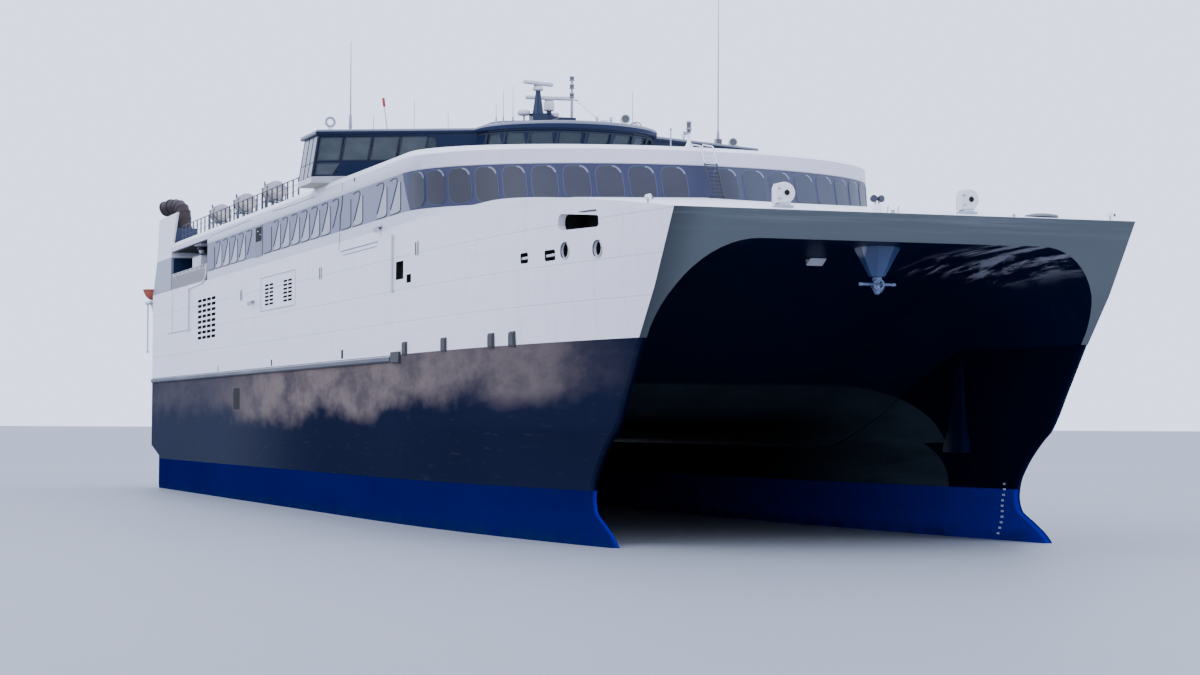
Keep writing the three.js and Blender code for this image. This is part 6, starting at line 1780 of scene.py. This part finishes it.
def jet_bell(y):
    """A pump housing with its flange bolts, and the arms that hold the nozzle."""
    housing = Shell(cast_metal)
    housing.turned(BELL, (TRANSOM_X - HAIR, y, JET_Z), 40, axis=(-1, 0, 0))
    for across, up in circle(16, 0.94):
        at = (y + across, JET_Z + up)
        housing.rod((TRANSOM_X - 0.10, *at), (TRANSOM_X - 0.15, *at), 0.035, sides=6)
    for up in (1, -1):
        arm_z = sorted((JET_Z + up * 0.846, JET_Z + up * 1.0))
        housing.box(-51.64, -50.3, y - 0.19, y + 0.19, *arm_z)
        housing.turned([(0, 0.13), (0.03, 0.13)], (PIVOT_X, y, JET_Z + up * 1.0), 16, axis=(0, 0, up))
    return housing


def jet_nozzle(y):
    """A steering nozzle with the ball that it turns on, its pin, and the bucket's trunnions."""
    nozzle = Shell(cast_metal)
    nozzle.turned(NOZZLE, (PIVOT_X + BALL_R, y, JET_Z), 36, axis=(-1, 0, 0))
    nozzle.rod((PIVOT_X, y, JET_Z - 0.84), (PIVOT_X, y, JET_Z + 0.84), 0.14, sides=20)
    return nozzle.rod((BUCKET_X, y - 0.677, JET_Z), (BUCKET_X, y + 0.677, JET_Z), 0.12, sides=20)


def jet_bucket(y):
    """A reversing bucket: two cheeks with round bosses, and the hood that joins them."""
    bucket = Shell(cast_metal)
    cheek, hood = ([(BUCKET_X + px, JET_Z + pz) for px, pz in outline] for outline in (CHEEK, HOOD))
    for out in (-1, 1):
        bucket.slab(cheek, *(y + edge for edge in span(out, BUCKET_HALF - 0.08, BUCKET_HALF)))
        boss = (BUCKET_X, y + out * (BUCKET_HALF - 0.005), JET_Z)
        bucket.turned([(0, 0.16), (0.02, 0.15), (0.02, 0.05)], boss, 20, axis=(0, out, 0))
    return bucket.slab(hood, y - BUCKET_HALF, y + BUCKET_HALF)


JET_PARTS = [
    # shape, piece, the node that it replaces, body, bevel
    (jet_bell, "jet_bell", "jet_housing", None, 0.01),
    (jet_nozzle, "jet_nozzle_casting", "jet_nozzle", "nozzle", 0.008),
    (jet_bucket, "jet_bucket_casting", "jet_bucket", "bucket", 0.01),
]
for side, sign in BOTH_SIDES:
    for place, jet_y in JET_YS:
        for shape, name, node, mover, bevel in JET_PARTS:
            body = f"{mover}_{place}_{side}" if mover else "hull"
            piece(f"{name}_{place}_{side}", shape(sign * jet_y), body=body,
                  replaces=[f"{node}_{place}_{side}"], bevel=bevel)

# Boat platform: an aluminium grating in a channel frame on two plated brackets on the starboard
# side of the stern, with a hanging leg at its outer corner.
BOAT_DECK_Z, BOAT_AFT_X, BOAT_OUTER_Y, BOAT_INNER_Y = 14.1, -56.2, -12.1, -8.7
FRAME_WIDE, PLATFORM_FRONT_X = 0.1, STERN_X - HAIR
platform = Shell(fitting_paint)
for x0, x1, y0, y1 in (
    (BOAT_AFT_X, PLATFORM_FRONT_X, BOAT_OUTER_Y, BOAT_OUTER_Y + FRAME_WIDE),
    (BOAT_AFT_X, PLATFORM_FRONT_X, BOAT_INNER_Y - FRAME_WIDE, BOAT_INNER_Y),
    (BOAT_AFT_X, BOAT_AFT_X + FRAME_WIDE, BOAT_OUTER_Y, BOAT_INNER_Y),
    (STERN_X - 0.12, PLATFORM_FRONT_X, BOAT_OUTER_Y, BOAT_INNER_Y),
):
    platform.box(x0, x1, y0, y1, BOAT_DECK_Z - 0.18, BOAT_DECK_Z)
plate_z = BOAT_DECK_Z - 0.1
side_plate = [(PLATFORM_FRONT_X, 12.6), (PLATFORM_FRONT_X, plate_z), (BOAT_AFT_X, plate_z)]
for y in (-11.6, -9.0):
    platform.slab(side_plate, y - 0.1, y + 0.1)
for top_z, radius in ((plate_z, 0.06), (10.35, 0.11)):
    platform.rod((-56.0, -11.9, 10.2), (-56.0, -11.9, top_z), radius, sides=12)
piece("platform_frame", platform, replaces=["boat_platform"], bevel=0.01)
bar = Shell(galvanised)
bar_y, bar_z = BOAT_OUTER_Y + FRAME_WIDE, BOAT_DECK_Z - 0.09
bar.box(BOAT_AFT_X + 0.06, STERN_X - 0.06, bar_y, bar_y + 0.03, bar_z, bar_z + 0.085)
piece("platform_grating", repeated(bar, 30, (0, 0.109, 0)))

# Rescue boat: a small rigid orange boat across the platform, moulded in fibreglass, with a
# rubbing band, a console, thwarts and a lifting ring.
boat_orange = two_tone("boat_orange_shell", (0.26, 0.055, 0.028), (0.42, 0.095, 0.050),
                       (0.4, (1, 1, 1), 6), (0.3, 0.3), Specular_IOR_Level=0.5)
GUNWALE_Z, BOAT_X = 15.05, -55.2
boat_sections = [
    # place across the stern, half breadth, depth
    (-12.35, 0.10, 0.26),
    (-12.2, 0.34, 0.55),
    (-11.9, 0.50, 0.80),
    (-11.4, 0.60, 0.92),
    (-10.6, 0.62, 0.945),
    (-9.8, 0.60, 0.93),
    (-9.22, 0.52, 0.88),
]


def boat_arc(y, half, depth, fullness):
    """A section of the boat from gunwale to gunwale."""
    return [(BOAT_X - half * math.cos(t), y, GUNWALE_Z - depth * math.sin(t) ** fullness) for t in fan(16)]


boat = Shell(boat_orange)
hull_rings = []
for y, half, depth in boat_sections:
    bowl = boat_arc(y, half, depth, 0.7)
    well = boat_arc(y, half - 0.08, (depth - 0.14) * 0.6, 0.6) if half > 0.2 else bowl
    hull_rings.append([*bowl, *reversed(well)])
boat.loft(hull_rings)
gunwale = [(BOAT_X - half, y, GUNWALE_Z - 0.08) for y, half, _ in boat_sections]
gunwale += [(BOAT_X + half, y, GUNWALE_Z - 0.08) for y, half, _ in reversed(boat_sections)]
boat.tube([*gunwale, gunwale[0]], 0.075, 10)
console = (BOAT_X - 0.2, BOAT_X + 0.2, -10.6, -10.25, GUNWALE_Z - 0.5, GUNWALE_Z + 0.1)
boat.box(*console, horn_white)
THWARTS = ((-9.9, -9.62), (-11.2, -10.95))
for thwart in THWARTS:
    boat.box(BOAT_X - 0.42, BOAT_X + 0.42, *thwart, GUNWALE_Z - 0.34, GUNWALE_Z - 0.27)
lifting_ring = [(BOAT_X + ahead_x, -10.42, GUNWALE_Z + 0.16 + up) for ahead_x, up in circle(16, 0.07)]
boat.tube([*lifting_ring, lifting_ring[0]], 0.018, 6, galvanised)
piece("rescue_boat_shell", boat, replaces=["rescue_boat"], sharp=40)

# Davit: a bracketed post with a slewing arm that lowers the boat, painted steel, with a winch,
# a head sheave and a hook block.
DAVIT_X, DAVIT_Y, DAVIT_SEAT_Z, DAVIT_HEAD_Z, DAVIT_REACH = -55.2, -8.3, 14.9, 16.9, 2.2
BRACKET_TOP_Z = 14.1
post = Shell(fitting_paint)
bracket_z = (BRACKET_TOP_Z - 0.4, BRACKET_TOP_Z)
post.box(DAVIT_X - 0.25, STERN_X - HAIR, DAVIT_Y - 0.22, DAVIT_Y + 0.22, *bracket_z)
pedestal = [(0, 0.30), (0.05, 0.30), (0.06, 0.2), (0.78, 0.2), (0.79, 0.26), (0.85, 0.26)]
post.turned(pedestal, (DAVIT_X, DAVIT_Y, BRACKET_TOP_Z - 0.05))
for ahead_x, across in circle(8, 0.25):
    x, y = DAVIT_X + ahead_x, DAVIT_Y + across
    bolt_ends = (x, y, BRACKET_TOP_Z), (x, y, BRACKET_TOP_Z + 0.03)
    post.rod(*bolt_ends, 0.025, sides=6, finish=galvanised)
piece("davit_pedestal", post, replaces=["davit_post"], bevel=0.015)
arm = Shell(fitting_paint)
slewing_post = [(0, 0.25), (0.06, 0.25), (0.07, 0.16), (1.9, 0.14), (1.99, 0.1)]
arm.turned(slewing_post, (DAVIT_X, DAVIT_Y, DAVIT_SEAT_Z + HAIR))
boom_ends = []
for share, half_w, half_h in ((0.0, 0.12, 0.16), (0.5, 0.10, 0.12), (1.0, 0.07, 0.08)):
    y, z = DAVIT_Y - DAVIT_REACH * share, DAVIT_HEAD_Z - 0.15 + 0.3 * share
    corners = ((-half_w, -half_h), (half_w, -half_h), (half_w, half_h), (-half_w, half_h))
    boom_ends.append([(DAVIT_X + ahead_x, y, z + up) for ahead_x, up in corners])
arm.loft(boom_ends)
head_y, head_z = DAVIT_Y - DAVIT_REACH + 0.1, DAVIT_HEAD_Z + 0.12
sheave = [(0, 0.10), (0.02, 0.13), (0.05, 0.09), (0.07, 0.09), (0.10, 0.13), (0.12, 0.10)]
arm.turned(sheave, (DAVIT_X - 0.06, head_y, head_z), 20, galvanised, (1, 0, 0))
fall_y = head_y - 0.08
arm.rod((DAVIT_X, fall_y, head_z), (DAVIT_X, fall_y, head_z - 0.75), 0.012, sides=6, finish=mast_grey)
hook_block = [(0, 0.02), (0.03, 0.08), (0.18, 0.08), (0.22, 0.03)]
arm.turned(hook_block, (DAVIT_X, fall_y, head_z - 0.95), 12, galvanised)
arm.box(DAVIT_X + 0.1, DAVIT_X + 0.45, DAVIT_Y - 0.15, DAVIT_Y + 0.15, 15.5, 15.85, mast_grey)
winch_x = DAVIT_X + 0.28
winch = [(0, 0.12), (0.02, 0.15), (0.04, 0.1), (0.22, 0.1), (0.24, 0.15), (0.26, 0.12)]
arm.turned(winch, (winch_x, DAVIT_Y - 0.42, 15.67), 20, galvanised, (0, 1, 0))
wire = [(winch_x, DAVIT_Y - 0.3, 15.77), (DAVIT_X + 0.1, DAVIT_Y - 0.5, 16.6)]
arm.tube([*wire, (DAVIT_X, head_y, head_z + 0.12)], 0.012, 5, mast_grey)
piece("davit_crane_arm", arm, body="davit", replaces=["davit_arm"], bevel=0.012)
